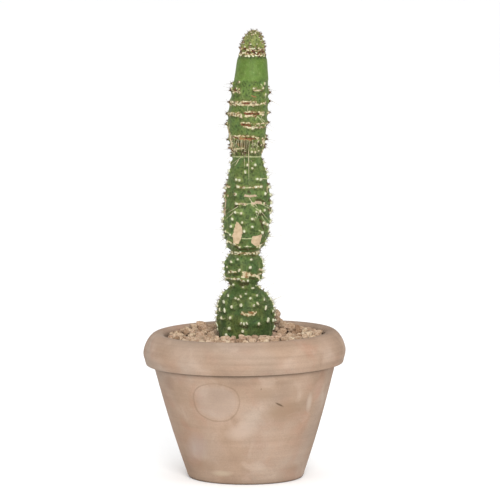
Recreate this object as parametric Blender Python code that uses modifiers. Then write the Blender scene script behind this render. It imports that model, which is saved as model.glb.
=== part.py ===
"""A potted cleistocactus: a pinched, knobbly green column in a terracotta pot.

Four pieces, each one object: the pot, the potting mix in it, the layer of pumice
pebbles on top, and the plant, whose buried foot stands in a plain round hole.
All lengths are in metres, +Z is up, and the origin is on the table under the
middle of the pot's rim.
"""

import math
import random

import bmesh
import bpy
from mathutils import Matrix, Vector

# Clearance between two pieces that touch on the real plant.
GAP = 0.0003

# The pot: a hand-finished terracotta pot, 140 mm across its rolled collar. The fill is
# turned in as many steps, so that its flat sides follow the pot's.
POT_STEPS = 48
RIM_PIECES = 6
BODY_PIECES = 4
FLOOR_PIECES = 2
POT_HEIGHT = 0.1011
FOOT_RADIUS = 0.0394
FOOT_ROUND = 0.0012
FOOT_ROUND_TOP = 0.0018
COLLAR_BOTTOM = 0.079
BODY_TOP_RADIUS = 0.0631
BODY_SWELL = 0.0007
COLLAR_CORNER_RADIUS = 0.0681
COLLAR_EDGE = 0.0006
COLLAR_LOW_RADIUS = 0.0694
COLLAR_LOW_HEIGHT = 0.0836
WIDEST_RADIUS = 0.0701
WIDEST_HEIGHT = 0.0875
CREST_RADIUS = 0.0615
RIM_ROUNDNESS = 1.6
LIP_RADIUS = 0.0560
LIP_DROP = 0.0012
WALL_TOP_RADIUS = 0.0554
WALL_TOP_HEIGHT = 0.0985
WALL_BEND_HEIGHT = 0.072
WALL_BEND_RADIUS = 0.0545
FLOOR_HEIGHT = 0.009
FLOOR_RADIUS = 0.0300
FLOOR_ROUND = 0.005
DRAIN_RADIUS = 0.007

# The pot stands true, but its rim rises to the right and its foot sits off centre.
RIM_TILT = 0.0175
AXIS_LEAN = 0.0095

# The fill: potting mix, then a pebble layer that ends just under the rim.
SOIL_TOP = 0.0900
GRAVEL_BED_TOP = 0.0970
GRAVEL_TOP = 0.0995

# Pumice pebbles, set in rings round the plant.
PEBBLE_SEED = 5
PEBBLE_HALF = 0.0046
PEBBLE_SPACING = 0.0092
PEBBLE_RING_SPACING = 0.0093
FIRST_PEBBLE_RING = 0.0232
LAST_PEBBLE_RING = 0.0511
PEBBLE_LENGTH = 1.12
PEBBLE_FLATNESS = 0.78
PEBBLE_TIP = 0.35
PEBBLE_SIZE_SPREAD = 0.16
PEBBLE_CORNER_SPREAD = 0.14
PEBBLE_STEP_SPREAD = 0.12
PEBBLE_RING_SPREAD = 0.0007
PEBBLE_LIFT_SPREAD = 0.0006
PEBBLE_CENTRE_DROP = 0.0022

# The plant's outline, as (height above the pebbles, radius), from tip to buried foot.
STEM_OUTLINE = (
    (0.2100, 0.0),
    (0.2086, 0.0036),
    (0.2062, 0.0056),
    (0.2034, 0.0068),
    (0.1979, 0.0087),
    (0.1937, 0.0095),
    (0.1895, 0.0103),
    (0.1812, 0.0112),
    (0.1729, 0.0122),
    (0.1646, 0.0130),
    (0.1480, 0.0138),
    (0.1396, 0.0133),
    (0.1341, 0.0126),
    (0.1285, 0.0114),
    (0.1227, 0.0102),
    (0.1147, 0.0121),
    (0.1091, 0.0135),
    (0.1036, 0.0145),
    (0.0953, 0.0157),
    (0.0830, 0.0161),
    (0.0703, 0.0154),
    (0.0648, 0.0141),
    (0.0593, 0.0115),
    (0.0565, 0.0092),
    (0.0540, 0.0105),
    (0.0515, 0.0122),
    (0.0450, 0.0128),
    (0.0385, 0.0119),
    (0.0335, 0.0096),
    (0.0312, 0.0118),
    (0.0280, 0.0148),
    (0.0230, 0.0176),
    (0.0177, 0.0191),
    (0.0100, 0.0196),
    (0.0000, 0.0184),
    (-0.0120, 0.0155),
    (-0.0240, 0.0110),
    (-0.0310, 0.0055),
    (-0.0330, 0.0),
)

# Where the plant's axis runs, as (height above the pebbles, x): it leans to the right.
STEM_AXIS = (
    (-0.0330, 0.0009),
    (0.0200, 0.0008),
    (0.0350, -0.0006),
    (0.0520, -0.0006),
    (0.0650, 0.0012),
    (0.1000, 0.0021),
    (0.1450, 0.0018),
    (0.1550, 0.0026),
    (0.1760, 0.0047),
    (0.1930, 0.0054),
    (0.2100, 0.0063),
)

# Straight pieces of the smooth curve between two points of the plant's outline.
CURVE_PIECES = 16

# The hole's cutter reaches this far above the pebbles, past the tallest of them.
HOLE_REACH = 0.0120

# Ribs and the knobs on them, which alternate from rib to rib.
RIBS = 14
COLUMNS_A_RIB = 3
STEM_STEPS = RIBS * COLUMNS_A_RIB
ROW_PITCH = 0.0040
SKIN_INSET = 0.0004
RIB_CREST = 0.00015
RIB_VALLEY = -0.0006
KNOB_HEIGHT = 0.0010
RELIEF_STARTS = 0.0005
RELIEF_FULL = 0.0050
RELIEF_ENDS = 0.2075
SMOOTH_BELT = (0.1730, 0.1915)
SMOOTH_BELT_RELIEF = 0.2

# Spines: thin three-sided needles that leave the knobs.
SPINE_SEED = 11
SPINE_SIDES = 3
SPINE_ROOT_RADIUS = 0.00036
SPINE_SUNK = 0.0012
SPINE_LENGTHS = (0.0040, 0.0080)
LONG_SPINE_LENGTHS = (0.0120, 0.0170)
LONG_SPINE_SHARE = 0.12
SPINE_SHARE = 0.5
SPINE_SPREAD = 0.55
SPINE_RISE = 0.25
LOWEST_SPINE = 0.0090
CROWN_HEIGHT = 0.2000
CROWN_LENGTHS = (0.0035, 0.0060)
CROWN_RISE = 2.2


def clear_scene():
    for thing in list(bpy.data.objects):
        bpy.data.objects.remove(thing, do_unlink=True)


def new_collection(name, hidden=False):
    group = bpy.data.collections.new(name)
    bpy.context.scene.collection.children.link(group)
    group.hide_render = hidden
    return group


def finish_material(name, red, green, blue, roughness):
    material = bpy.data.materials.new(name)
    material.use_nodes = True
    shader = material.node_tree.nodes["Principled BSDF"]
    shader.inputs["Base Color"].default_value = (red, green, blue, 1.0)
    shader.inputs["Roughness"].default_value = roughness
    shader.inputs["Metallic"].default_value = 0.0
    return material


def new_object(name, mesh, group):
    thing = bpy.data.objects.new(name, mesh)
    group.objects.link(thing)
    return thing


def bake_modifiers(thing):
    """Put what the modifiers make into the object's own mesh."""
    bpy.context.view_layer.update()
    graph = bpy.context.evaluated_depsgraph_get()
    made = bpy.data.meshes.new_from_object(thing.evaluated_get(graph))
    thing.modifiers.clear()
    thing.data = made


def turned(name, outline, steps, group, ring=False):
    """Turn an outline of (radius, height) points, down its outer side, round the Z axis."""
    shape = bmesh.new()
    points = [shape.verts.new((radius, 0.0, height)) for radius, height in outline]
    for start, end in zip(points, points[1:]):
        shape.edges.new((start, end))
    if ring:
        shape.edges.new((points[-1], points[0]))
    mesh = bpy.data.meshes.new(name)
    shape.to_mesh(mesh)
    shape.free()
    thing = new_object(name, mesh, group)
    screw = thing.modifiers.new("turn", "SCREW")
    screw.axis = "Z"
    screw.steps = steps
    screw.render_steps = steps
    screw.use_merge_vertices = True
    screw.merge_threshold = 0.00001
    bake_modifiers(thing)
    return thing


def arc(centre_radius, centre_height, size, start, end, pieces):
    """Points of a round edge; the angles are in degrees from straight outward."""
    points = []
    for index in range(pieces + 1):
        angle = math.radians(start + (end - start) * index / pieces)
        points.append(
            (centre_radius + size * math.cos(angle), centre_height + size * math.sin(angle))
        )
    return points


def between(stations, place):
    """The value at a place, on straight lines between (place, value) stations."""
    if place <= stations[0][0]:
        return stations[0][1]
    for (low, before), (high, after) in zip(stations, stations[1:]):
        if place <= high:
            return before + (after - before) * (place - low) / (high - low)
    return stations[-1][1]


def lean(thing):
    """Give a piece of the pot or its fill the pot's own lean."""
    for vertex in thing.data.vertices:
        across, along, height = vertex.co
        vertex.co = (
            across + AXIS_LEAN * (WIDEST_HEIGHT - height),
            along,
            height * (1 + RIM_TILT * across / POT_HEIGHT),
        )


def boolean(thing, operation, other=None, group=None):
    cut = thing.modifiers.new(operation.lower(), "BOOLEAN")
    cut.operation = operation
    cut.solver = "EXACT"
    if group:
        cut.operand_type = "COLLECTION"
        cut.collection = group
    else:
        cut.object = other
    bake_modifiers(thing)


def remove_group(group):
    for thing in list(group.objects):
        bpy.data.objects.remove(thing, do_unlink=True)
    bpy.data.collections.remove(group)


def outer_body_radius(height):
    share = height / COLLAR_BOTTOM
    straight = FOOT_RADIUS + (BODY_TOP_RADIUS - FOOT_RADIUS) * share
    return straight + BODY_SWELL * math.sin(math.pi * share)


def inner_wall_radius(height):
    """The inside of the pot above its rounded floor."""
    return between(
        (
            (FLOOR_HEIGHT + FLOOR_ROUND, FLOOR_RADIUS + FLOOR_ROUND),
            (WALL_BEND_HEIGHT, WALL_BEND_RADIUS),
            (WALL_TOP_HEIGHT, WALL_TOP_RADIUS),
        ),
        height,
    )


def pot_outline():
    """The section through one side of the pot, from the crest of the rim round and back."""
    outline = []
    for step in range(RIM_PIECES + 1):
        turn = math.pi / 2 * step / RIM_PIECES
        power = 2 / RIM_ROUNDNESS
        outline.append(
            (
                CREST_RADIUS + (WIDEST_RADIUS - CREST_RADIUS) * math.sin(turn) ** power,
                WIDEST_HEIGHT + (POT_HEIGHT - WIDEST_HEIGHT) * math.cos(turn) ** power,
            )
        )
    outline.append((COLLAR_LOW_RADIUS, COLLAR_LOW_HEIGHT))
    outline.append((COLLAR_CORNER_RADIUS, COLLAR_BOTTOM + COLLAR_EDGE))
    outline.append((COLLAR_CORNER_RADIUS - COLLAR_EDGE, COLLAR_BOTTOM))
    for step in range(BODY_PIECES + 1):
        height = COLLAR_BOTTOM - (COLLAR_BOTTOM - FOOT_ROUND_TOP) * step / BODY_PIECES
        outline.append((outer_body_radius(height), height))
    outline += arc(FOOT_RADIUS - FOOT_ROUND, FOOT_ROUND, FOOT_ROUND, -20, -90, 2)
    outline.append((DRAIN_RADIUS, 0.0))
    outline.append((DRAIN_RADIUS, FLOOR_HEIGHT))
    outline += arc(
        FLOOR_RADIUS, FLOOR_HEIGHT + FLOOR_ROUND, FLOOR_ROUND, -90, 0, FLOOR_PIECES
    )
    outline.append((WALL_BEND_RADIUS, WALL_BEND_HEIGHT))
    outline.append((WALL_TOP_RADIUS, WALL_TOP_HEIGHT))
    outline.append((LIP_RADIUS, POT_HEIGHT - LIP_DROP))
    outline.append(((LIP_RADIUS + CREST_RADIUS) / 2, POT_HEIGHT - LIP_DROP / 4))
    return outline


def make_pot(group):
    pot = turned("pot", pot_outline(), POT_STEPS, group, ring=True)
    lean(pot)
    return pot


def make_soil(group):
    """Potting mix that fills the pot from its floor to the pebble layer."""
    outline = [(0.0, SOIL_TOP)]
    for height in (SOIL_TOP, WALL_BEND_HEIGHT):
        outline.append((inner_wall_radius(height) - GAP, height))
    outline += arc(
        FLOOR_RADIUS, FLOOR_HEIGHT + FLOOR_ROUND, FLOOR_ROUND - GAP, 0, -90, FLOOR_PIECES
    )
    outline.append((0.0, FLOOR_HEIGHT + GAP))
    soil = turned("soil", outline, POT_STEPS, group)
    lean(soil)
    return soil


def make_pebble(number, draw, centre, group):
    """One angular pebble: a twenty-sided ball with its corners pushed about."""
    shape = bmesh.new()
    bmesh.ops.create_icosphere(shape, subdivisions=1, radius=1.0)
    for corner in shape.verts:
        corner.co *= 1 + draw.uniform(-PEBBLE_CORNER_SPREAD, PEBBLE_CORNER_SPREAD)
    size = PEBBLE_HALF * (1 + draw.uniform(-PEBBLE_SIZE_SPREAD, PEBBLE_SIZE_SPREAD))
    flat = size * PEBBLE_FLATNESS
    bmesh.ops.scale(shape, vec=(size * PEBBLE_LENGTH, size, flat), verts=shape.verts)
    turn = Matrix.Rotation(draw.uniform(0, 2 * math.pi), 3, "Z")
    tip = Matrix.Rotation(draw.uniform(-PEBBLE_TIP, PEBBLE_TIP), 3, "X")
    bmesh.ops.rotate(shape, cent=(0, 0, 0), matrix=turn @ tip, verts=shape.verts)
    bmesh.ops.translate(shape, vec=centre, verts=shape.verts)
    mesh = bpy.data.meshes.new("pebble")
    shape.to_mesh(mesh)
    shape.free()
    return new_object(f"pebble_{number}", mesh, group)


def pebble_places(draw):
    """Rings of pebble centres, each place shaken a little."""
    rings = round((LAST_PEBBLE_RING - FIRST_PEBBLE_RING) / PEBBLE_RING_SPACING)
    for ring in range(rings + 1):
        radius = FIRST_PEBBLE_RING + (LAST_PEBBLE_RING - FIRST_PEBBLE_RING) * ring / rings
        count = round(2 * math.pi * radius / PEBBLE_SPACING)
        start = draw.uniform(0, 2 * math.pi)
        for place in range(count):
            shaken = place + draw.uniform(-PEBBLE_STEP_SPREAD, PEBBLE_STEP_SPREAD)
            angle = start + 2 * math.pi * shaken / count
            reach = radius + draw.uniform(-PEBBLE_RING_SPREAD, PEBBLE_RING_SPREAD)
            lift = draw.uniform(-PEBBLE_LIFT_SPREAD, PEBBLE_LIFT_SPREAD)
            height = GRAVEL_TOP - PEBBLE_CENTRE_DROP + lift
            yield Vector((reach * math.cos(angle), reach * math.sin(angle), height))


def make_gravel(group):
    """The pebble layer: a bed with pebbles fused to its top, trimmed clear of the pot."""
    bottom = SOIL_TOP + GAP
    bed_outline = [(0.0, GRAVEL_BED_TOP)]
    bed_outline.append((inner_wall_radius(GRAVEL_BED_TOP) - GAP, GRAVEL_BED_TOP))
    bed_outline.append((inner_wall_radius(bottom) - GAP, bottom))
    bed_outline.append((0.0, bottom))
    gravel = turned("gravel", bed_outline, POT_STEPS, group)
    draw = random.Random(PEBBLE_SEED)
    pebbles = new_collection("pebbles")
    for number, centre in enumerate(pebble_places(draw)):
        make_pebble(number, draw, centre, pebbles)
    boolean(gravel, "UNION", group=pebbles)
    remove_group(pebbles)
    trim_top = GRAVEL_TOP + HOLE_REACH
    below = bottom - GAP / 2
    trim_outline = [(0.0, trim_top)]
    trim_outline.append((WALL_TOP_RADIUS - GAP, trim_top))
    trim_outline.append((WALL_TOP_RADIUS - GAP, WALL_TOP_HEIGHT))
    trim_outline.append((inner_wall_radius(below) - GAP, below))
    trim_outline.append((0.0, below))
    trim = turned("pebble_trim", trim_outline, POT_STEPS, group)
    boolean(gravel, "INTERSECT", other=trim)
    bpy.data.objects.remove(trim, do_unlink=True)
    lean(gravel)
    return gravel


def smooth_rows(stations, pitch):
    """Points every pitch along a smooth curve through (height, radius) stations."""
    points = [Vector((radius, height)) for height, radius in stations]
    before = Vector((-points[1].x, points[1].y))
    after = Vector((-points[-2].x, points[-2].y))
    chain = [before] + points + [after]
    lengths = [(end - start).length for start, end in zip(chain, chain[1:])]
    tangents = []
    for index in range(1, len(chain) - 1):
        left, right = lengths[index - 1], lengths[index]
        entering = (chain[index] - chain[index - 1]) / left
        leaving = (chain[index + 1] - chain[index]) / right
        tangents.append((entering * right + leaving * left) / (left + right))
    dense = []
    for index in range(len(points) - 1):
        span = lengths[index + 1]
        for step in range(CURVE_PIECES):
            t = step / CURVE_PIECES
            dense.append(
                points[index] * (2 * t**3 - 3 * t**2 + 1)
                + tangents[index] * span * (t**3 - 2 * t**2 + t)
                + points[index + 1] * (3 * t**2 - 2 * t**3)
                + tangents[index + 1] * span * (t**3 - t**2)
            )
    dense.append(points[-1])
    total = sum((end - start).length for start, end in zip(dense, dense[1:]))
    count = round(total / pitch)
    rows = [dense[0]]
    walked = 0.0
    for start, end in zip(dense, dense[1:]):
        length = (end - start).length
        while len(rows) < count and walked + length >= total * len(rows) / count:
            share = (total * len(rows) / count - walked) / length
            rows.append(start.lerp(end, share))
        walked += length
    rows.append(dense[-1])
    return [(row.y, row.x) for row in rows]


def relief_share(height):
    """How much of the ribs and knobs shows at a height above the pebbles."""
    fading_in = (height - RELIEF_STARTS) / (RELIEF_FULL - RELIEF_STARTS)
    share = max(0.0, min(1.0, fading_in))
    low, high = SMOOTH_BELT
    if low < height < high:
        share = SMOOTH_BELT_RELIEF
    if height > RELIEF_ENDS:
        share = 0.0
    return share


def has_knob(row, column):
    rib = column // COLUMNS_A_RIB
    return column % COLUMNS_A_RIB == 0 and (row + rib) % 2 == 0


def relief(row, column, height):
    if has_knob(row, column):
        raised = KNOB_HEIGHT
    elif column % COLUMNS_A_RIB == 0:
        raised = RIB_CREST
    else:
        raised = RIB_VALLEY
    return raised * relief_share(height)


def stem_point(row, column, height, radius):
    """The skin's point in one row and column, with its ribs and knobs."""
    angle = 2 * math.pi * column / STEM_STEPS
    reach = radius
    if radius > 0:
        reach += relief(row, column, height) - SKIN_INSET * relief_share(height)
    return Vector(
        (
            between(STEM_AXIS, height) + reach * math.cos(angle),
            reach * math.sin(angle),
            GRAVEL_TOP + height,
        )
    )


def make_stem_skin(group):
    """The plant as one turned body, then each point moved to its rib or knob."""
    rows = smooth_rows(STEM_OUTLINE, ROW_PITCH)
    outline = [(radius, height) for height, radius in rows]
    stem = turned("stem", outline, STEM_STEPS, group)
    heights = [height for height, radius in rows]
    for vertex in stem.data.vertices:
        across, along, height = vertex.co
        row = min(range(len(rows)), key=lambda number: abs(heights[number] - height))
        angle = math.atan2(along, across) % (2 * math.pi)
        column = round(angle / (2 * math.pi) * STEM_STEPS) % STEM_STEPS
        vertex.co = stem_point(row, column, heights[row], rows[row][1])
    return stem, rows


def make_spine(number, root, direction, length, group):
    """A pointed needle whose root is sunk in the skin."""
    shape = bmesh.new()
    whole = length + SPINE_SUNK
    bmesh.ops.create_cone(
        shape,
        cap_ends=True,
        segments=SPINE_SIDES,
        radius1=SPINE_ROOT_RADIUS,
        radius2=0.0,
        depth=whole,
    )
    bmesh.ops.remove_doubles(shape, verts=shape.verts, dist=0.000001)
    turn = direction.to_track_quat("Z", "Y").to_matrix()
    bmesh.ops.rotate(shape, cent=(0, 0, 0), matrix=turn, verts=shape.verts)
    middle = root + direction * (whole / 2 - SPINE_SUNK)
    bmesh.ops.translate(shape, vec=middle, verts=shape.verts)
    mesh = bpy.data.meshes.new("spine")
    shape.to_mesh(mesh)
    shape.free()
    return new_object(f"spine_{number}", mesh, group)


def spine_direction(draw, angle, rise):
    outward = Vector((math.cos(angle), math.sin(angle), rise))
    sideways = Vector((-math.sin(angle), math.cos(angle), 0))
    outward += sideways * draw.uniform(-SPINE_SPREAD, SPINE_SPREAD)
    outward.z += draw.uniform(-SPINE_SPREAD, SPINE_SPREAD)
    return outward.normalized()


def spine_roots(rows):
    """Every knob that may carry a spine: its row, column, height and radius."""
    for row, (height, radius) in enumerate(rows):
        if height < LOWEST_SPINE or SMOOTH_BELT[0] < height < SMOOTH_BELT[1]:
            continue
        if radius == 0:
            continue
        for column in range(0, STEM_STEPS, COLUMNS_A_RIB):
            if has_knob(row, column):
                yield row, column, height, radius


def make_spines(rows):
    """Needles on about half the knobs, evenly on all sides, up to the crown."""
    draw = random.Random(SPINE_SEED)
    spines = new_collection("spines")
    number = 0
    for row, column, height, radius in spine_roots(rows):
        in_crown = height > CROWN_HEIGHT
        if not in_crown and draw.random() > SPINE_SHARE:
            continue
        if in_crown and column // COLUMNS_A_RIB % 4 > 1:
            continue
        angle = 2 * math.pi * column / STEM_STEPS
        if in_crown:
            length = draw.uniform(*CROWN_LENGTHS)
            direction = spine_direction(draw, angle, CROWN_RISE)
        elif draw.random() < LONG_SPINE_SHARE:
            length = draw.uniform(*LONG_SPINE_LENGTHS)
            direction = spine_direction(draw, angle, SPINE_RISE)
        else:
            length = draw.uniform(*SPINE_LENGTHS)
            direction = spine_direction(draw, angle, SPINE_RISE)
        root = stem_point(row, column, height, radius)
        make_spine(number, root, direction, length, spines)
        number += 1
    return spines


def stem_hole(rows, group):
    """A plain round cutter that follows the plant's foot with the gap all round."""
    outline = []
    for height, radius in rows[:-1]:
        if height < HOLE_REACH:
            wider = GAP + KNOB_HEIGHT * relief_share(height)
            outline.append((radius + wider, GRAVEL_TOP + height))
    top = GRAVEL_TOP + HOLE_REACH
    outline = [(0.0, top), (outline[0][0], top)] + outline
    foot = rows[-1][0]
    outline.append((0.0, GRAVEL_TOP + foot - GAP))
    hole = turned("stem_hole", outline, STEM_STEPS, group)
    for vertex in hole.data.vertices:
        vertex.co.x += between(STEM_AXIS, 0.0)
    hole.hide_render = True
    hole.display_type = "WIRE"
    return hole


def main():
    clear_scene()
    parts = new_collection("potted_cleistocactus")
    cutters = new_collection("cutters", hidden=True)
    pot = make_pot(parts)
    soil = make_soil(parts)
    gravel = make_gravel(parts)
    stem, rows = make_stem_skin(parts)
    hole = stem_hole(rows, cutters)
    boolean(soil, "DIFFERENCE", other=hole)
    boolean(gravel, "DIFFERENCE", other=hole)
    spines = make_spines(rows)
    boolean(stem, "UNION", group=spines)
    remove_group(spines)
    finishes = (
        (pot, finish_material("terracotta", 0.50, 0.36, 0.25, 0.85)),
        (soil, finish_material("potting_mix", 0.05, 0.03, 0.02, 0.95)),
        (gravel, finish_material("pumice", 0.58, 0.42, 0.27, 0.9)),
        (stem, finish_material("cactus_skin", 0.11, 0.22, 0.05, 0.5)),
    )
    for thing, material in finishes:
        thing.data.materials.clear()
        thing.data.materials.append(material)
        thing.data.shade_smooth()
        thing.data.set_sharp_from_angle(angle=math.radians(35))


main()
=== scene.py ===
# %% [markdown]
# # A potted cleistocactus
#
# A pinched green column cactus stands in a terracotta pot, with pumice pebbles over
# the soil. A CAD model holds the true sizes. This notebook gives each of its pieces
# the surface that the eye sees. Lengths are in metres, +Z is up, the viewer looks
# along +Y, and the origin lies on the table under the middle of the pot's rim.

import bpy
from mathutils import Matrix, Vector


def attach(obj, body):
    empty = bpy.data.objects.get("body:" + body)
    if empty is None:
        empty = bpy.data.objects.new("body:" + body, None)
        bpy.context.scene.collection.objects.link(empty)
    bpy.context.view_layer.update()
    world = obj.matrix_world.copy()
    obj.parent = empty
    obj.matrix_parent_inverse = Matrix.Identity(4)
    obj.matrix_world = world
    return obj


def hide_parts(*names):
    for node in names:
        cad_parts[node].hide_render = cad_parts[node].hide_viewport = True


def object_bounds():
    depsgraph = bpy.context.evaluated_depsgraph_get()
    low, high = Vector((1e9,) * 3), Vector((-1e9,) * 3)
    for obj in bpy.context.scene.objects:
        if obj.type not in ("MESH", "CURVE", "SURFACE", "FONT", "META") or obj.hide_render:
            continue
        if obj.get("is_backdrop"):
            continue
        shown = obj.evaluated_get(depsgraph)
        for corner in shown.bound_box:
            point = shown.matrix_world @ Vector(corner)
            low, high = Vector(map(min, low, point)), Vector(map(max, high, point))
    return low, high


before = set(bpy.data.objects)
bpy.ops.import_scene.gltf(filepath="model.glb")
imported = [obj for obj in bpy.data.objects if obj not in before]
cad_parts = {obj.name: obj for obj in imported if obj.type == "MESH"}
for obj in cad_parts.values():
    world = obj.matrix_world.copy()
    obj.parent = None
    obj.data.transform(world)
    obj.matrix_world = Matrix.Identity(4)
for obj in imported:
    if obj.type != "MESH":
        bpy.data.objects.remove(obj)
cad_low, cad_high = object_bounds()
print("CAD box in mm:", [round(1000 * side) for side in cad_high - cad_low])

# %% The rest of the tools
import math
import random
from functools import partial

import bmesh
import bpy
import numpy as np
from mathutils import Matrix, Vector, noise
from mathutils.bvhtree import BVHTree

MM = 0.001
print("Blender", bpy.app.version_string)

# %% [markdown]
# ## Camera
#
# The picture was taken from nearly three metres away with a long lens, a little above
# the plant, so upright lines stay upright and the pot's rim shows as a thin oval. A
# long lens on a far camera gives that flat view. A near camera would bend the pot.

# %% Camera
CAMERA_PLACE = Vector((0.0038, -2.85, 0.470))
CAMERA_AIM = Vector((0.0038, 0.0, 0.1575))
LENS = 299.2


def aimed(name, data, place, aim):
    """A camera or a lamp that stands at one place and looks at another."""
    made = bpy.data.objects.new(name, data)
    made.location = place
    made.rotation_euler = (aim - place).to_track_quat("-Z", "Y").to_euler()
    bpy.context.scene.collection.objects.link(made)
    return made


camera = aimed("camera", bpy.data.cameras.new("camera"), CAMERA_PLACE, CAMERA_AIM)
camera.data.sensor_width = 36.0
camera.data.lens = LENS
camera.data.clip_end = 100.0
bpy.context.scene.camera = camera
drop = math.atan2(CAMERA_PLACE.z - CAMERA_AIM.z, -CAMERA_PLACE.y)
print("camera looks down by", round(math.degrees(drop), 1), "degrees")

# %% [markdown]
# ## Colours and nodes
#
# Colours are written as the sRGB hex codes that a paint program shows, and Blender
# works in linear light, so one function turns them. One more adds a node, sets or
# links its sockets and fills its colour ramp. Two patterns come back in many
# materials: patches of another colour, and stains that darken what they lie on.


# %% Colours and nodes
def paint(code):
    """The linear colour of an sRGB hex code."""
    parts = [int(code[place : place + 2], 16) / 255 for place in (1, 3, 5)]
    linear = [p / 12.92 if p <= 0.04045 else ((p + 0.055) / 1.055) ** 2.4 for p in parts]
    return (*linear, 1.0)


def fill(node, inputs):
    """Set a node's sockets to values, or link them to the outputs of other nodes."""
    for name, value in inputs.items():
        if isinstance(value, bpy.types.NodeSocket):
            node.id_data.links.new(value, node.inputs[name])
        else:
            node.inputs[name].default_value = value


def add_node(tree, kind, inputs=None, stops=(), out=0, **settings):
    """Add a node with its settings, sockets and ramp stops, and give one output."""
    node = tree.nodes.new("ShaderNode" + kind)
    for name, value in settings.items():
        setattr(node, name, value)
    fill(node, inputs or {})
    if stops:
        elements = node.color_ramp.elements
        elements.remove(elements[1])
        elements[0].position = stops[0][0]
        elements[0].color = paint(stops[0][1])
        for spot, code in stops[1:]:
            elements.new(spot).color = paint(code)
    return node.outputs[out]


def new_material(name, looks):
    """A material, the function that adds its nodes, its shader, and each point's place."""
    material = bpy.data.materials.new(name)
    material.use_nodes = True
    shader = material.node_tree.nodes["Principled BSDF"]
    fill(shader, looks)
    add = partial(add_node, material.node_tree)
    return material, add, shader, add("TexCoord", out="Object")


# The Mix node has one set of sockets for each kind of value: these are the colour ones.
SHARE, FIRST, SECOND, MIXED = 0, 6, 7, 2


def patched(add, colour, pattern, span, shares, code):
    """A colour under another, whose share goes over a span of the pattern's values."""
    share = add("MapRange", {0: pattern, 1: span[0], 2: span[1], 3: shares[0], 4: shares[1]})
    sockets = {SHARE: share, FIRST: colour, SECOND: paint(code)}
    return add("Mix", sockets, out=MIXED, data_type="RGBA")


def stained(add, colour, pattern, share, stops):
    """A colour multiplied, by some share, with a ramp of tones along a pattern."""
    sockets = {SHARE: share, FIRST: colour, SECOND: add("ValToRGB", {0: pattern}, stops)}
    return add("Mix", sockets, out=MIXED, data_type="RGBA", blend_type="MULTIPLY")


print("mid grey #808080 is", round(paint("#808080")[0], 3), "in linear light")

# %% [markdown]
# ## Floor and light
#
# The plant stands on a white studio table that runs out of the picture without an
# edge. A very wide disc does that from every side, where a curved backdrop would
# work from one. The room is white, and one large soft lamp stands above the camera,
# a little to the right, so that the plant and the pot darken gently to their sides.

# %% Floor and light
floor_shape = bmesh.new()
bmesh.ops.create_circle(floor_shape, cap_ends=True, segments=64, radius=30.0)
floor_mesh = bpy.data.meshes.new("floor")
floor_shape.to_mesh(floor_mesh)
floor_shape.free()
floor = bpy.data.objects.new("floor", floor_mesh)
bpy.context.scene.collection.objects.link(floor)
# Matt white laminate: it scatters light evenly, so it shows only a faint soft shadow.
laminate, add, shader, place = new_material("laminate_matt_white", {"Roughness": 0.9})
# Clouds a third of a metre wide, too faint to see as such.
haze = add("TexNoise", {"Vector": place, "Scale": 3.0, "Detail": 2.0})
fill(shader, {"Base Color": add("ValToRGB", {0: haze}, ((0.3, "#F6F6F6"), (0.7, "#F8F8F8")))})
floor.data.materials.append(laminate)
floor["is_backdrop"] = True

LAMP_PLACE = Vector((0.25, -2.36, 0.95))
LAMP_AIM = Vector((0.0, 0.0, 0.15))
LAMP_WATTS = 60.0
ROOM_LIGHT = 1.08

lamp = aimed("softbox", bpy.data.lights.new("softbox", "AREA"), LAMP_PLACE, LAMP_AIM)
lamp.data.shape = "DISK"
lamp.data.size = 1.2
lamp.data.energy = LAMP_WATTS
world = bpy.data.worlds.new("white_room")
world.use_nodes = True
fill(world.node_tree.nodes["Background"], {"Color": (1.0, 1.0, 1.0, 1.0), "Strength": ROOM_LIGHT})
bpy.context.scene.world = world
bpy.context.scene.view_settings.view_transform = "Standard"
print("lamp stands", round((LAMP_PLACE - LAMP_AIM).length, 2), "m away")

# %% [markdown]
# ## Pieces
#
# Each piece is a bmesh until it is done. Then it becomes an object that rides on the
# object's one body and stands in for its plain CAD node. Turned pieces come from half
# a section, drawn as a wire and spun round the Z axis. That is how a potter's wheel
# works, and it keeps the surface free of seams.


# %% Pieces
def finish_piece(shape, name, material, node, sharp=50):
    """Turn a bmesh into a shown piece that stands in for a CAD node."""
    mesh = bpy.data.meshes.new(name)
    shape.to_mesh(mesh)
    shape.free()
    mesh.materials.append(material)
    mesh.shade_smooth()
    mesh.set_sharp_from_angle(angle=math.radians(sharp))
    piece = bpy.data.objects.new(name, mesh)
    bpy.context.scene.collection.objects.link(piece)
    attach(piece, "root")
    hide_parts(node)
    mesh.calc_loop_triangles()
    print(name, "has", len(mesh.loop_triangles), "triangles")


def spun(outline, steps, ring=False):
    """Spin a wire of (radius, height) points round the Z axis into a closed skin."""
    shape = bmesh.new()
    points = [shape.verts.new((radius, 0.0, height)) for radius, height in outline]
    pairs = list(zip(points, points[1:]))
    if ring:
        pairs.append((points[-1], points[0]))
    wire = [shape.edges.new(pair) for pair in pairs]
    bmesh.ops.spin(
        shape,
        geom=points + wire,
        cent=(0, 0, 0),
        axis=(0, 0, 1),
        angle=2 * math.pi,
        steps=steps,
        use_merge=True,
    )
    bmesh.ops.remove_doubles(shape, verts=shape.verts, dist=0.000001)
    bmesh.ops.recalc_face_normals(shape, faces=shape.faces)
    return shape


def curve(start, bend, end, pieces):
    """Points of a soft corner from start to end, pulled towards bend."""
    made = []
    for step in range(pieces + 1):
        share = step / pieces
        first = [a + (b - a) * share for a, b in zip(start, bend)]
        second = [a + (b - a) * share for a, b in zip(bend, end)]
        made.append(tuple(a + (b - a) * share for a, b in zip(first, second)))
    return made


def new_part():
    """An empty bmesh with a layer for the tone of each point."""
    part = bmesh.new()
    return part, part.verts.layers.float.new("tone")


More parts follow.
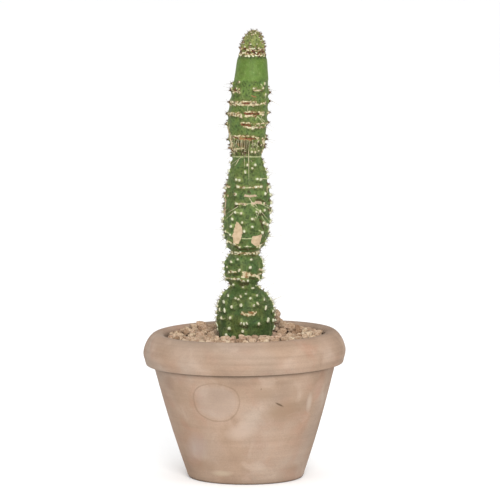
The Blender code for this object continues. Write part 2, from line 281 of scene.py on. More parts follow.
def pour(small, big):
    """Move a small part into a big bmesh, where making it would take far longer."""
    carrier = bpy.data.meshes.new("carrier")
    small.to_mesh(carrier)
    small.free()
    big.from_mesh(carrier)
    bpy.data.meshes.remove(carrier)


# %% [markdown]
# ## Pot
#
# A terracotta pot is thrown on a wheel and left unglazed. It has a rolled collar with
# a soft shoulder, a sharp shadow line under it, a straight cone of a body, a flat foot
# and a drain hole. Its section is spun here as the CAD pot's was, with soft corners.
# The collar rises a little to the right and the foot sits off centre, as thrown pots
# do, so a formula leans the whole piece. Fine turning marks are real relief.

# %% Pot shape
POT_HEIGHT = 0.1011
FOOT_RADIUS = 0.0398
BODY_TOP = 0.079
BODY_TOP_RADIUS = 0.0631
WIDEST_RADIUS = 0.0701
WIDEST_HEIGHT = 0.0875
CREST_RADIUS = 0.0615
WALL_TOP_RADIUS = 0.0554
WALL_BEND = (0.0545, 0.072)
DRAIN_RADIUS = 0.007
FLOOR_HEIGHT = 0.009
RIM_TILT = 0.0175
AXIS_LEAN = 0.0095
POT_STEPS = 240
# Radii of the clay that lies in shade under the collar.
COLLAR_SHADE = (0.05, 0.0672)


def leaning(point):
    """Where the thrown pot's lean moves a point of it or of its fill."""
    across = point.x + AXIS_LEAN * (WIDEST_HEIGHT - point.z)
    return Vector((across, point.y, point.z * (1 + RIM_TILT * point.x / POT_HEIGHT)))


def pot_section():
    """The pot's section: over the rim, down the collar and body, then up the inside."""
    section = []
    for step in range(27):
        turn = math.pi / 2 * step / 26
        reach = (WIDEST_RADIUS - CREST_RADIUS) * math.sin(turn) ** 1.25
        rise = (POT_HEIGHT - WIDEST_HEIGHT) * abs(math.cos(turn)) ** 1.25
        section.append((CREST_RADIUS + reach, WIDEST_HEIGHT + rise))
    section += curve((WIDEST_RADIUS, WIDEST_HEIGHT), (0.0701, 0.0855), (0.0694, 0.0836), 4)[1:]
    section += curve((0.0684, 0.0797), (0.0681, BODY_TOP), (0.0673, BODY_TOP), 3)
    section += [(0.0655, BODY_TOP)]
    section += curve((0.0640, BODY_TOP), (0.0631, BODY_TOP), (0.0630, 0.0782), 3)
    section += [(0.0629, 0.0776), (0.0627, 0.0769)]
    for step in range(2, 42):
        share = 1 - step / 42
        swell = 0.0010 * math.sin(math.pi * share)
        radius = FOOT_RADIUS + (BODY_TOP_RADIUS - FOOT_RADIUS) * share + swell
        section.append((radius, BODY_TOP * share))
    section += curve((FOOT_RADIUS + 0.0001, 0.0012), (FOOT_RADIUS, 0), (0.0380, 0), 4)
    section += [(0.0300, 0.0), (0.0150, 0.0)]
    section += curve((DRAIN_RADIUS + 0.0008, 0), (DRAIN_RADIUS, 0), (DRAIN_RADIUS, 0.0008), 3)
    section += [(DRAIN_RADIUS, 0.004), (DRAIN_RADIUS, FLOOR_HEIGHT), (0.020, FLOOR_HEIGHT)]
    section += curve((0.0300, FLOOR_HEIGHT), (0.0350, FLOOR_HEIGHT), (0.0351, 0.0140), 4)
    section += [WALL_BEND, (WALL_TOP_RADIUS, 0.0950)]
    section += curve((WALL_TOP_RADIUS, 0.0975), (0.0556, 0.1002), (0.0585, 0.1008), 6)
    return section


pot_shape = spun(pot_section(), POT_STEPS, ring=True)
painted_shade_layer = pot_shape.verts.layers.float.new("painted_shade")
collar_layer = pot_shape.verts.layers.float.new("collar")
for vertex in pot_shape.verts:
    spot = vertex.co
    radius = spot.xy.length
    # Painted shade: the clay is darkened under the collar and round the foot's edge, for the shadow line
    # there and the contact shadow.
    shaded = COLLAR_SHADE[0] < radius < COLLAR_SHADE[1]
    under = math.exp(-(((spot.z - BODY_TOP) / 0.0013) ** 2)) if shaded else 0.0
    foot = math.exp(-((spot.z / 0.0011) ** 2)) if radius > 0.037 else 0.0
    vertex[painted_shade_layer] = max(under, foot)
    vertex[collar_layer] = max(0.0, min(1.0, (spot.z - BODY_TOP) / 0.002))
    # Turning marks: grooves a tenth of a millimetre deep that follow the wheel.
    groove = noise.noise(Vector((spot.x * 6, spot.y * 6, spot.z * 330)))
    groove += 0.6 * noise.noise(Vector((spot.x * 4, spot.y * 4, spot.z * 900)))
    wave = noise.noise(spot * 22)
    outside = radius > 0.036 and spot.z > 0.0025
    cut = 0.00005 * (1 + groove) + 0.00008 * (1 + wave) if outside else 0.0
    spot.xy *= 1 - cut / max(radius, 0.001)
    vertex.co = leaning(spot)

# %% [markdown]
# ## Terracotta
#
# This is a pale, washed terracotta: fired clay with a lime bloom that came out of the
# wall in clouds. The eye sees a dry surface with no gloss, beige with pink and grey
# patches some 13 to 55 mm wide, faint streaks along the turning marks, and the grain
# of the clay. One oval tide mark is left on the front. Noise at each of those real
# sizes is mixed over the last, and the tide mark is the edge of an oval.

# %% Terracotta
LOOKS = {"Roughness": 0.88, "Specular IOR Level": 0.3}
clay, add, shader, place = new_material("terracotta_thrown_unglazed", LOOKS)
on_collar = add("Attribute", out="Fac", attribute_name="collar")
# Clouds of bloom about 30 mm across: a noise's scale is one over its size in metres.
bloom = add("TexNoise", {"Vector": place, "Scale": 32.0, "Detail": 4.0})
BLOOM_TONES = ((0.30, "#88715F"), (0.45, "#927B68"), (0.58, "#998270"), (0.72, "#9D8B7C"))
colour = add("ValToRGB", {0: bloom}, BLOOM_TONES)
# Streaks that run round the pot, squeezed to 2 mm in height.
flat = add("Mapping", {0: place, "Scale": (12.0, 12.0, 420.0)})
streak = add("TexNoise", {"Vector": flat, "Scale": 1.0, "Detail": 3.0})
# The grain of the clay, about 0.7 mm.
grain = add("TexNoise", {"Vector": place, "Scale": 1400.0, "Detail": 2.0})
# (size in mm, where it starts and is full, most of it shown, colour): pink clay that
# shows through, grey dust, pale lime, and a few brown stains.
for size, starts, full, most, code in (
    (22.0, 0.52, 0.72, 0.50, "#94705C"),
    (55.0, 0.46, 0.70, 0.45, "#877B6F"),
    (16.0, 0.56, 0.74, 0.40, "#A89686"),
    (13.0, 0.62, 0.76, 0.25, "#735B48"),
):
    sockets = {"Vector": place, "Scale": 1000.0 / size, "Detail": 3.0, "Distortion": 0.5}
    colour = patched(add, colour, add("TexNoise", sockets), (starts, full), (0.0, most), code)
streak_share = add("MapRange", {0: on_collar, 3: 0.3, 4: 0.5})
colour = stained(add, colour, streak, streak_share, ((0.32, "#E2E0DE"), (0.62, "#FFFFFF")))
colour = stained(add, colour, grain, 0.6, ((0.32, "#EAEAEA"), (0.62, "#FFFFFF")))
print("the clay so far takes", len(clay.node_tree.nodes), "nodes")

# %% [markdown]
# The front carries soft stains, the oval tide mark of a wet pot that stood against it,
# a nick painted dark as the shade inside it, and a speck. Each is an oval on the wall.
# A Mapping node of the Texture kind turns an oval into a unit ball, so a point's distance
# from the middle says whether it is inside. The balls reach only through the front wall.

# %% Marks on the pot
SOFT = 0.6
TIDE_LINE = "#6A5747"
# (x, z, half width, half height in mm, turn in degrees, share, colour, softness)
POT_MARKS = (
    (-51.6, 68.6, 4.5, 7.0, 10, 0.45, "#7A6252", SOFT),
    (-59.0, 74.5, 4.0, 4.0, 0, 0.30, "#7A6252", SOFT),
    (12.2, 65.0, 9.0, 6.0, 0, 0.50, "#826C59", SOFT),
    (27.2, 52.2, 19.0, 8.0, -12, 0.65, "#7F6955", SOFT),
    (44.3, 56.4, 2.4, 9.0, 8, 0.50, "#AA9B8D", SOFT),
    (-1.9, 39.4, 14.0, 7.0, -15, 0.40, "#A59487", SOFT),
    (-33.0, 23.4, 10.0, 14.0, 15, 0.45, "#948982", SOFT),
    (-16.0, 8.0, 9.0, 3.0, 0, 0.50, "#A79984", SOFT),
    (-29.0, 12.8, 12.0, 6.0, 0, 0.35, "#7D6551", SOFT),
    (35.2, 9.6, 9.0, 5.0, 0, 0.40, "#7D6551", SOFT),
    (50.3, 65.0, 5.0, 9.0, 10, 0.40, "#997C6C", SOFT),
    (-19.0, 59.2, 15.9, 13.9, 0, 0.30, "#93867D", 0.25),
    (-19.0, 59.2, 15.9, 13.9, 0, 0.75, TIDE_LINE, 0.05),
    # Painted shade: the dark inside of a nick, which the wall has no groove for.
    (23.8, 57.4, 3.8, 0.8, 30, 0.85, "#4B3A2A", 0.5),
    (11.4, 69.0, 0.5, 0.9, 20, 0.55, "#4B3A2A", 0.5),
)
# The middle of each ball, from front to back, and half its depth.
WALL_FRONT = -0.056
WALL_REACH = 0.06
# Marks wider than this either side have a shaken outline.
SHAKEN_FROM = 4
sockets = {"Vector": bloom.node.outputs["Color"], 9: (-0.003,) * 3, 10: (0.003,) * 3}
wobble = add("MapRange", sockets, out="Vector", data_type="FLOAT_VECTOR")
shaken = add("VectorMath", {0: place, 1: wobble}, operation="ADD")
for x, z, wide, tall, turn, share, code, soft in POT_MARKS:
    sockets = {
        "Vector": shaken if wide > SHAKEN_FROM else place,
        "Location": (x * MM, WALL_FRONT, z * MM),
        "Rotation": (0.0, math.radians(turn), 0.0),
        "Scale": (wide * MM, WALL_REACH, tall * MM),
    }
    ball = add("Mapping", sockets, vector_type="TEXTURE")
    reach = add("VectorMath", {0: ball}, out="Value", operation="LENGTH")
    span = (1 - soft, 1.0)
    if code == TIDE_LINE:
        # Only the edge shows, and more where the grain of the clay took more of it up.
        reach = add("Math", {0: reach, 1: 1.0}, operation="SUBTRACT")
        reach = add("Math", {0: reach}, operation="ABSOLUTE")
        share = add("Math", {0: streak, 1: share}, operation="MULTIPLY")
        span = (0.01, soft)
    colour = patched(add, colour, reach, span, (share, 0.0), code)
# Painted shade under the collar and round the foot, in dark brown.
painted_shade = add("Attribute", out="Fac", attribute_name="painted_shade")
colour = patched(add, colour, painted_shade, (0.0, 1.0), (0.0, 0.75), "#46372B")
bump = add("Bump", {"Strength": 0.3, "Distance": 0.0002, "Height": streak})
bump = add("Bump", {"Strength": 0.4, "Distance": 0.0001, "Height": grain, "Normal": bump})
fill(shader, {"Base Color": colour, "Normal": bump})
finish_piece(pot_shape, "pot_thrown", clay, "pot", sharp=60)

# %% [markdown]
# ## Soil
#
# Under the pebbles is a dark mix of peat and bark that only shows through the drain
# hole. Its CAD solid already has the right shape, so it stays and gets a new finish.

# %% Potting mix
# Peat and shredded bark: near black and rough, in crumbs of 2 mm, some of them brown.
mix, add, shader, place = new_material("potting_mix_peat_and_bark", {"Roughness": 0.95})
crumb = add("TexNoise", {"Vector": place, "Scale": 500.0, "Detail": 5.0})
tone = add("ValToRGB", {0: crumb}, ((0.35, "#1B140F"), (0.55, "#34251B"), (0.72, "#60442E")))
bump = add("Bump", {"Strength": 0.8, "Distance": 0.001, "Height": crumb})
fill(shader, {"Base Color": tone, "Normal": bump})
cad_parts["soil"].data.materials.clear()
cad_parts["soil"].data.materials.append(mix)
print("the soil's mix takes", len(mix.node_tree.nodes), "nodes")

# %% [markdown]
# ## Pebbles
#
# The top layer is crushed pumice, sieved to 5 to 8 mm: chips with flat broken faces,
# each a little different in size and in colour. A chip starts as a cube cut in 54
# faces and rounded, and is pressed flat against a few random planes, which is what
# breaking does. Chips are dropped one at a time on a free spot, first a lower layer
# in dark tones that are painted shade for the gaps, and then the top one, so they lie
# close together and dark gaps stay open.

# %% Pebble layer
GRAVEL_TOP = 0.0995
# The pebbles lie between the plant's foot and the pot's wall.
PEBBLES_FROM = 0.0196
PEBBLES_TO = WALL_TOP_RADIUS - 0.0004
PEBBLE_SEED = 5
CHIP_PLANES = 9
# Low spots of the layer are filled to this depth with a dark bed: humus, and painted shade in the gaps.
BED_TOP = GRAVEL_TOP - 0.0066


def add_chip(shape, draw, middle, half, tones=(0.25, 1.0)):
    """One broken pebble of about the given half width, at the given place."""
    small, tone_layer = new_part()
    bmesh.ops.create_cube(small, size=1.2)
    bmesh.ops.subdivide_edges(small, edges=small.edges, cuts=2, use_grid_fill=True)
    for vertex in small.verts:
        vertex.co = vertex.co.lerp(vertex.co.normalized(), 0.6)
    for _ in range(CHIP_PLANES):
        facing = Vector((draw.gauss(0, 1), draw.gauss(0, 1), draw.gauss(0, 1))).normalized()
        reach = draw.uniform(0.5, 0.82)
        for vertex in small.verts:
            over = vertex.co.dot(facing) - reach
            if over > 0:
                vertex.co -= facing * over
    turn = Matrix.Rotation(draw.uniform(0, 2 * math.pi), 3, "Z")
    turn = turn @ Matrix.Rotation(draw.uniform(-0.7, 0.7), 3, "X")
    size = Vector((draw.uniform(1.1, 1.5), draw.uniform(0.95, 1.2), draw.uniform(0.85, 1.1)))
    tone = draw.uniform(*tones)
    for vertex in small.verts:
        vertex.co = middle + turn @ (vertex.co * size * half)
        vertex[tone_layer] = tone
    pour(small, shape)


def free_spots(draw, inner, outer, halves, closeness, tries):
    """Random places between two circles, each (x, y, half width), that don't crowd."""
    found = np.zeros((0, 3))
    for _ in range(tries):
        half = draw.uniform(*halves)
        low, high = (inner + 0.75 * half) ** 2, (outer - 0.98 * half) ** 2
        radius = math.sqrt(draw.uniform(low, high))
        angle = draw.uniform(0, 2 * math.pi)
        spot = np.array((radius * math.cos(angle), radius * math.sin(angle), half))
        apart = np.hypot(found[:, 0] - spot[0], found[:, 1] - spot[1])
        if (apart > closeness * (found[:, 2] + half)).all():
            found = np.vstack((found, spot))
    return found


# Heaps of the layer: (x, y, how much higher, how wide).
HEAPS = (
    (-0.031, 0.041, 0.0036, 0.006),
    (0.026, 0.043, 0.0034, 0.006),
    (0.014, -0.026, 0.0022, 0.011),
    (-0.012, -0.028, 0.0008, 0.010),
    (0.001, -0.0245, 0.0022, 0.006),
    (0.027, 0.014, 0.0050, 0.008),
)
# Chips that lie on the others and lean on the plant: (x, y, z, half width).
PERCHED = (
    (0.0262, 0.0110, 0.1045, 0.0032),
    (0.0228, 0.0125, 0.1078, 0.0030),
    (0.0217, 0.0118, 0.1116, 0.0033),
)


def layer_height(across, along):
    """How high the pebble layer lies at a place."""
    heaped = sum(
        high * math.exp(-((across - x) ** 2 + (along - y) ** 2) / wide**2) for x, y, high, wide in HEAPS
    )
    dished = 0.0015 * (across**2 + along**2) / WALL_TOP_RADIUS**2
    return GRAVEL_TOP + heaped + dished - 0.0002


draw = random.Random(PEBBLE_SEED)
chips, _ = new_part()
# (how far down, half widths, closeness, tries, tones) of the lower and the top layer.
LAYERS = (
    # The lower layer: its dark tones are painted shade in the gaps.
    (0.0046, (0.0024, 0.0034), 0.85, 8000, (0.0, 0.2)),
    (0.0, (0.0024, 0.0041), 0.82, 16000, (0.25, 1.0)),
)
for deep, halves, closeness, tries, tones in LAYERS:
    spots = free_spots(draw, PEBBLES_FROM, PEBBLES_TO, halves, closeness, tries)
    for across, along, half in spots:
        height = layer_height(across, along) - deep - 0.8 * half + draw.uniform(-0.0014, 0.0012)
        add_chip(chips, draw, leaning(Vector((across, along, height))), half, tones)
    print(len(spots), "pebbles in a layer")
for *middle, half in PERCHED:
    add_chip(chips, draw, Vector(middle), half, (0.5, 0.7))

# %% Pumice
# Crushed and sieved pumice: dry, full of pores, from cream to pinkish brown.
LOOKS = {"Roughness": 0.95, "Specular IOR Level": 0.25}
pumice, add, shader, place = new_material("pumice_crushed_sieved", LOOKS)
# The tones up to 0.2 are for the lower layer: dark browns painted as shade in the gaps.
PUMICE_TONES = (
    (0.0, "#4A3422"), (0.2, "#644933"), (0.27, "#866C56"), (0.45, "#A18B76"), (0.6, "#AC9883"),
    (0.75, "#A78D7A"), (0.88, "#B39F88"), (1.0, "#BBAB95"),
)
colour = add("ValToRGB", {0: add("Attribute", out="Fac", attribute_name="tone")}, PUMICE_TONES)
# Pores and rusty specks of about 1 mm.
pores = add("TexNoise", {"Vector": place, "Scale": 900.0, "Detail": 4.0})
PORE_TONES = ((0.30, "#86664B"), (0.43, "#E2D4C4"), (0.6, "#FFFFFF"))
colour = stained(add, colour, pores, 0.8, PORE_TONES)
bump = add("Bump", {"Strength": 0.7, "Distance": 0.0004, "Height": pores})
fill(shader, {"Base Color": colour, "Normal": bump})
finish_piece(chips, "pebbles", pumice, "gravel", sharp=30)

# %% Pebble bed
# A bed under the pebbles in grains of 1.4 mm, near black brown: partly humus, and
# partly painted shade in the gaps.
humus_and_shade, add, shader, place = new_material("humus_and_painted_gap_shade", {"Roughness": 1.0})
specks = add("TexNoise", {"Vector": place, "Scale": 700.0, "Detail": 3.0})
# Painted shade: near black browns, so that the gaps between the pebbles read dark.
tone = add("ValToRGB", {0: specks}, ((0.4, "#29180B"), (0.7, "#563B24")))
bump = add("Bump", {"Strength": 0.8, "Distance": 0.0008, "Height": specks})
fill(shader, {"Base Color": tone, "Normal": bump})
BED_INNER = 0.0130
BED_BOTTOM = 0.0905
bed_outline = [(radius, BED_TOP) for radius in (BED_INNER, 0.0300, 0.0450, PEBBLES_TO)]
bed_outline += [(PEBBLES_TO - 0.0002, BED_BOTTOM), (BED_INNER, BED_BOTTOM)]
bed = spun(bed_outline, 96, ring=True)
for vertex in bed.verts:
    lump = noise.noise(vertex.co * 260) if vertex.co.z > 0.092 else 0.0
    vertex.co = leaning(vertex.co + Vector((0, 0, 0.0006 * lump)))
finish_piece(bed, "pebble_bed", humus_and_shade, "gravel")

# %% [markdown]
# ## The plant's skin
#
# The plant grew in four swellings with tight necks between them: a fat foot, a bead,
# a spindle and a tall cone. Its half outline is a smooth curve through the same
# points as the CAD stem's, spun round the Z axis. Then every point is moved by
# formulas: the axis leans, a knob rises under each areole (the woolly pads that a
# cactus grows its spines from), cork stands proud, and cracks sink in.

# %% Skin outline
# (height above the pebbles, radius), from the tip to the buried foot.
STEM_OUTLINE = (
    (0.2100, 0.0), (0.2086, 0.0036), (0.2062, 0.0056), (0.2034, 0.0068), (0.1979, 0.0087), (0.1937, 0.0095),
    (0.1895, 0.0103), (0.1812, 0.0112), (0.1729, 0.0122), (0.1646, 0.0130), (0.1480, 0.0138),
    (0.1396, 0.0133), (0.1341, 0.0126), (0.1285, 0.0114), (0.1227, 0.0102), (0.1147, 0.0121),
    (0.1091, 0.0135), (0.1036, 0.0145), (0.0953, 0.0157), (0.0830, 0.0161), (0.0703, 0.0154),
    (0.0648, 0.0141), (0.0593, 0.0115), (0.0565, 0.0092), (0.0540, 0.0105), (0.0515, 0.0122),
    (0.0450, 0.0128), (0.0385, 0.0119), (0.0335, 0.0096), (0.0312, 0.0118), (0.0280, 0.0148),
    (0.0230, 0.0176), (0.0177, 0.0191), (0.0100, 0.0196), (0.0000, 0.0184), (-0.0120, 0.0155),
    (-0.0240, 0.0110), (-0.0310, 0.0055), (-0.0330, 0.0),
)
# (height above the pebbles, x) of the plant's leaning axis.
STEM_AXIS = (
    (-0.0330, 0.0009), (0.0200, 0.0008), (0.0350, -0.0006), (0.0520, -0.0006), (0.0650, 0.0012),
    (0.1000, 0.0021), (0.1450, 0.0018), (0.1550, 0.0026), (0.1760, 0.0047), (0.1930, 0.0054),
    (0.2100, 0.0063),
)
ROW_PITCH = 0.00042
STEM_STEPS = 160
CURVE_PIECES = 64


def smooth_rows(stations, pitch):
    """Points every pitch along a smooth curve through (height, radius) stations."""
    points = np.array(stations)[:, ::-1]
    chain = np.vstack((points[1] * (-1, 1), points, points[-2] * (-1, 1)))
    spans = np.linalg.norm(np.diff(chain, axis=0), axis=1)
    slopes = np.diff(chain, axis=0) / spans[:, None]
    left, right = spans[:-1, None], spans[1:, None]
    tangents = (slopes[:-1] * right + slopes[1:] * left) / (left + right)
    t = (np.arange(CURVE_PIECES) / CURVE_PIECES)[:, None]
    dense = [
        start * (2 * t**3 - 3 * t**2 + 1)
        + leave * span * (t**3 - 2 * t**2 + t)
        + end * (3 * t**2 - 2 * t**3)
        + arrive * span * (t**3 - t**2)
        for start, end, leave, arrive, span in zip(
            points, points[1:], tangents, tangents[1:], spans[1:]
        )
    ]
    dense = np.vstack(dense + [points[-1:]])
    walked = np.concatenate(([0], np.cumsum(np.linalg.norm(np.diff(dense, axis=0), axis=1))))
    stops = np.linspace(0, walked[-1], round(walked[-1] / pitch) + 1)
    radius = np.interp(stops, walked, dense[:, 0])
    height = np.interp(stops, walked, dense[:, 1])
    return height, radius, stops


row_height, row_radius, row_arc = smooth_rows(STEM_OUTLINE, ROW_PITCH)
# The buried foot needs fewer rows than what shows.
kept = (row_height > -0.002) | (np.arange(len(row_height)) % 6 == 0)
kept[-1] = True
row_height, row_radius, row_arc = row_height[kept], row_radius[kept], row_arc[kept]
rising = slice(None, None, -1)
print(len(row_height), "rows of", STEM_STEPS, "points")


def radius_at(height):
    """The outline's radius at a height."""
    return np.interp(height, row_height[rising], row_radius[rising])


def arc_at(height):
    """How far down the outline from the tip a height is, along the skin."""
    return np.interp(height, row_height[rising], row_arc[rising])


def axis_at(height):
    """How far to the right the leaning axis stands at a height."""
    heights, places = zip(*STEM_AXIS)
    return np.interp(height, heights, places)


# %% [markdown]
# ## Reading the front of the plant
#
# Spots on the front were measured as the picture shows them: millimetres to the right
# of the pot's middle, and millimetres above the pebbles. `seen` turns such a pair into
# the two numbers that the skin understands: an angle round the axis, 0 in front and
# positive to the right, and a true height. The camera looks down a little, so what
# lies nearer to it appears lower than it is.


# %% Reading the front
def wrapped(turn):
    """The same angle, from half a turn to the left to half a turn to the right."""
    return (turn + math.pi) % (2 * math.pi) - math.pi


def fall(height):
    """How much lower the camera sees a point for each metre that it lies nearer."""
    return (CAMERA_PLACE.z - GRAVEL_TOP - height) / -CAMERA_PLACE.y


def seen(across, up):
    """The (angle, height) on the skin of a spot on the front, from millimetres."""
    height = up * MM
    for _ in range(4):
        radius = max(radius_at(height), 0.001)
        share = max(-0.985, min(0.985, (across * MM - axis_at(height)) / radius))
        angle = math.asin(share)
        height = up * MM + radius * math.cos(angle) * fall(height)
    return angle, height


print("the middle of the upper crack is at", seen(5.0, 152.4))

# %% [markdown]
# ## Areoles
#
# Areoles sit where the photograph shows them on the front. Round the sides and back
# they follow a rule: upright ribs, every second one shifted by half a step, with a
# little disorder. On the tip, where the plant still grows, they are small, crowd
# together and wind round in a spiral, each 137.5 degrees on from the last, as leaves
# and seeds do. Each areole is (angle, height, wide, tall, slant, core, size), where
# core is 1 if dark spine bases fill its middle, and 2 if it is dead and brown all over.

# %% Areoles of the front
# (across, up, wide, tall in mm), then the slant in degrees and the core where it has one.
FOOT_AREOLES = (
    (-10.8, 26.5, 1.4, 3.4, 35), (-5.9, 24.5, 1.8, 1.5), (-4.1, 23.8, 2.1, 1.5), (-2.5, 25.8, 1.4, 2.2, 25),
    (1.0, 27.7, 1.8, 1.2), (3.9, 24.5, 2.3, 1.9, 10), (8.2, 26.5, 1.8, 1.7, -30),
    (13.1, 23.9, 1.3, 2.8, -30), (-13.8, 22.0, 1.8, 3.7, 50), (-8.5, 18.5, 1.7, 2.6, 15),
    (-2.3, 19.6, 1.9, 2.4), (6.2, 19.6, 1.5, 2.3, -40), (8.8, 20.9, 1.5, 2.8, 30),
    (14.2, 17.9, 1.5, 3.9, -25), (-13.2, 16.1, 1.5, 3.6, 20), (-16.6, 16.6, 1.4, 3.0, 20),
    (18.9, 15.6, 1.3, 2.8, -20), (-15.3, 10.8, 1.8, 2.6, 10), (-9.5, 10.8, 2.3, 2.8, -20),
    (15.7, 9.4, 1.9, 3.7, -20), (19.1, 9.1, 1.9, 3.0), (-2.3, 7.1, 1.7, 2.5, -30),
    (-0.4, 6.6, 1.7, 2.3, 10), (1.5, 7.0, 1.5, 2.5, 30), (9.5, 6.7, 2.3, 2.9), (-10.2, 3.5, 2.5, 2.2, 20),
    (-18.1, 6.1, 1.4, 3.0, 15), (-1.2, 1.4, 2.0, 2.6), (-12.4, -1.0, 2.3, 2.3), (20.2, 3.5, 1.7, 2.6, -10),
)
BEAD_AREOLES = (
    (-4.4, 51.6, 1.8, 1.7), (-8.7, 49.8, 1.7, 2.6, 60), (4.4, 51.4, 2.1, 1.7), (10.7, 52.8, 1.8, 1.9),
    (3.7, 45.9, 2.0, 2.1), (-11.5, 46.2, 1.7, 1.7), (12.0, 49.4, 1.5, 1.7), (-3.5, 43.9, 1.7, 2.9, -35),
    (11.7, 44.3, 2.1, 1.8), (-10.1, 42.6, 1.9, 1.4), (-7.6, 42.9, 2.1, 1.4), (-12.0, 38.6, 1.7, 1.4),
    (-8.5, 38.0, 2.1, 1.4), (-4.0, 38.0, 2.2, 1.4), (-0.6, 36.5, 1.7, 1.2), (2.2, 36.7, 1.8, 1.8),
    (-7.2, 34.0, 1.7, 1.8), (-1.0, 32.2, 1.9, 1.4), (5.4, 31.6, 3.4, 1.5), (10.0, 37.2, 1.5, 1.5),
)
SPINDLE_AREOLES = (
    (2.0, 117.0, 1.5, 1.9), (7.1, 117.0, 1.8, 1.8), (5.2, 114.7, 1.8, 1.8), (0.6, 112.1, 1.7, 2.6, 10),
    (-5.3, 106.9, 1.8, 1.8), (-3.3, 106.4, 1.9, 2.1), (8.6, 107.2, 1.8, 1.9), (10.8, 106.9, 1.8, 1.9),
    (-4.0, 101.9, 2.1, 1.8), (-0.3, 101.1, 1.8, 1.5), (7.6, 101.7, 2.1, 1.9), (10.8, 101.9, 2.1, 1.8),
    (-6.1, 96.7, 2.3, 2.3, 0, 1), (13.8, 97.2, 1.8, 2.3, -20), (-5.0, 90.0, 2.2, 1.8),
    (-0.6, 89.9, 2.5, 1.9, 0, 1), (13.4, 90.3, 1.9, 1.9, 0, 1), (-6.1, 84.2, 1.7, 2.1, 20),
    (-2.1, 83.5, 1.9, 2.1), (7.9, 84.6, 1.8, 1.8), (10.4, 84.9, 1.8, 2.3), (13.4, 85.6, 1.8, 1.9),
    (-8.1, 79.6, 1.9, 2.3, 20), (5.3, 79.6, 1.9, 1.9), (-1.5, 77.1, 1.9, 2.1), (-8.8, 74.5, 1.9, 2.2),
    (5.2, 74.2, 2.1, 2.1), (-0.1, 71.0, 1.8, 2.1), (12.7, 76.9, 1.9, 2.1, -30), (15.3, 75.7, 1.8, 2.1),
    (11.9, 70.1, 2.1, 2.2), (15.9, 71.0, 1.8, 1.9), (-12.4, 70.9, 1.7, 1.9), (-9.4, 68.7, 1.8, 1.8),
    (-11.2, 63.8, 2.1, 2.1, -20), (14.1, 64.2, 1.8, 1.8), (-6.6, 62.2, 1.8, 1.5), (1.8, 60.5, 2.1, 1.2),
    (10.0, 59.8, 1.9, 1.5), (-3.2, 60.1, 1.7, 1.2),
)
CONE_AREOLES = (
    (-8.0, 173.1, 1.2, 1.8, 0, 1), (-3.3, 174.1, 1.8, 1.8, 0, 1), (-8.3, 169.7, 1.8, 1.5, 0, 1),
    (-5.1, 169.7, 1.9, 1.5, 0, 1), (-6.9, 166.8, 1.9, 1.7), (-3.3, 166.9, 1.7, 1.8, 0, 1),
    (6.2, 169.7, 1.5, 1.7), (7.7, 170.0, 1.1, 1.2, 0, 1), (9.8, 168.5, 2.2, 1.2),
    (12.2, 169.9, 1.8, 1.9, -20), (13.5, 173.0, 1.3, 2.5, -10), (14.1, 165.6, 1.2, 1.8),
    (-5.8, 159.7, 1.8, 1.8, 0, 1), (-2.6, 159.5, 1.7, 1.7), (6.2, 159.3, 1.5, 1.7, 0, 1),
    (13.6, 159.2, 1.5, 1.8, 0, 1), (-6.4, 152.1, 1.9, 1.8, 0, 1), (-2.1, 150.6, 1.9, 2.8),
    (-8.8, 152.3, 1.5, 1.7), (12.0, 151.6, 1.8, 2.1), (5.4, 142.3, 2.2, 2.6), (7.5, 144.0, 1.2, 1.2, 0, 1),
    (9.8, 144.1, 1.2, 1.2, 0, 1), (13.9, 144.2, 1.4, 1.5, 0, 1), (-7.0, 135.5, 1.4, 1.4, 0, 1),
    (-4.0, 135.5, 1.5, 1.4, 0, 1), (9.4, 133.1, 1.7, 1.7, 0, 1), (11.3, 130.6, 1.4, 1.7, 0, 1),
    (5.0, 126.1, 1.9, 1.7, 20), (7.0, 125.8, 1.7, 1.9), (9.4, 126.6, 1.8, 1.5, -20),
    (-5.4, 126.5, 1.7, 1.5, 0, 1), (0.3, 126.2, 1.4, 1.2, 0, 1), (0.6, 123.6, 1.5, 1.1, 0, 1),
)
# Areoles seen from the side, on the outline: (up, +1 right or -1 left).
EDGE_AREOLES = (
    (173.1, -1), (168.3, -1), (160.4, -1), (152.5, -1), (145.1, -1), (134.6, -1), (166.9, 1), (161.0, 1),
    (153.2, 1), (146.4, 1),
)
# The same low down, where they are woolly and sit on big knobs.
WOOLLY_EDGE = (
    (3.5, -1), (7.5, -1), (11.8, -1), (15.6, -1), (19.2, -1), (22.6, -1), (26.0, -1), (28.8, -1), (5.2, 1),
    (9.6, 1), (13.4, 1), (17.4, 1), (20.8, 1), (24.4, 1), (27.6, 1), (37.6, -1), (41.2, -1), (45.4, -1),
    (49.6, -1), (39.0, 1), (43.2, 1), (47.4, 1), (51.4, 1),
)

areoles = []
for rows in (FOOT_AREOLES, BEAD_AREOLES, SPINDLE_AREOLES, CONE_AREOLES):
    for across, up, wide, tall, *more in rows:
        slant, core = (*more, 0, 0)[:2]
        angle, height = seen(across, up)
        areoles.append((angle, height, wide * MM, tall * MM, math.radians(slant), core, 1.0))
for up, side in EDGE_AREOLES:
    areoles.append((side * math.radians(88), up * MM, 0.0017, 0.0019, 0.0, 2, 1.0))
for up, side in WOOLLY_EDGE:
    areoles.append((side * math.radians(80), up * MM, 0.0018, 0.0023, side * 0.3, 0, 1.3))
print(len(areoles), "areoles on the front")

# %% Areoles of the sides, back and tip
AREOLE_SEED = 21
RIBS = 19
AREOLE_STEP = 0.0057
FRONT_HALF = math.radians(62)
BELT = (0.1745, 0.1915)
CONE_ROWS = (0.1346, 0.1454, 0.1528, 0.1602, 0.1688, 0.1735)
TIP_STARTS = 0.1975
TIP_AREOLES = 64
GOLDEN_ANGLE = math.radians(137.508)
CROWDED = 0.0037
CONE_FROM = 0.122
# How many of them have a small dead one above, all brown.
DEAD_SHARE = 0.7
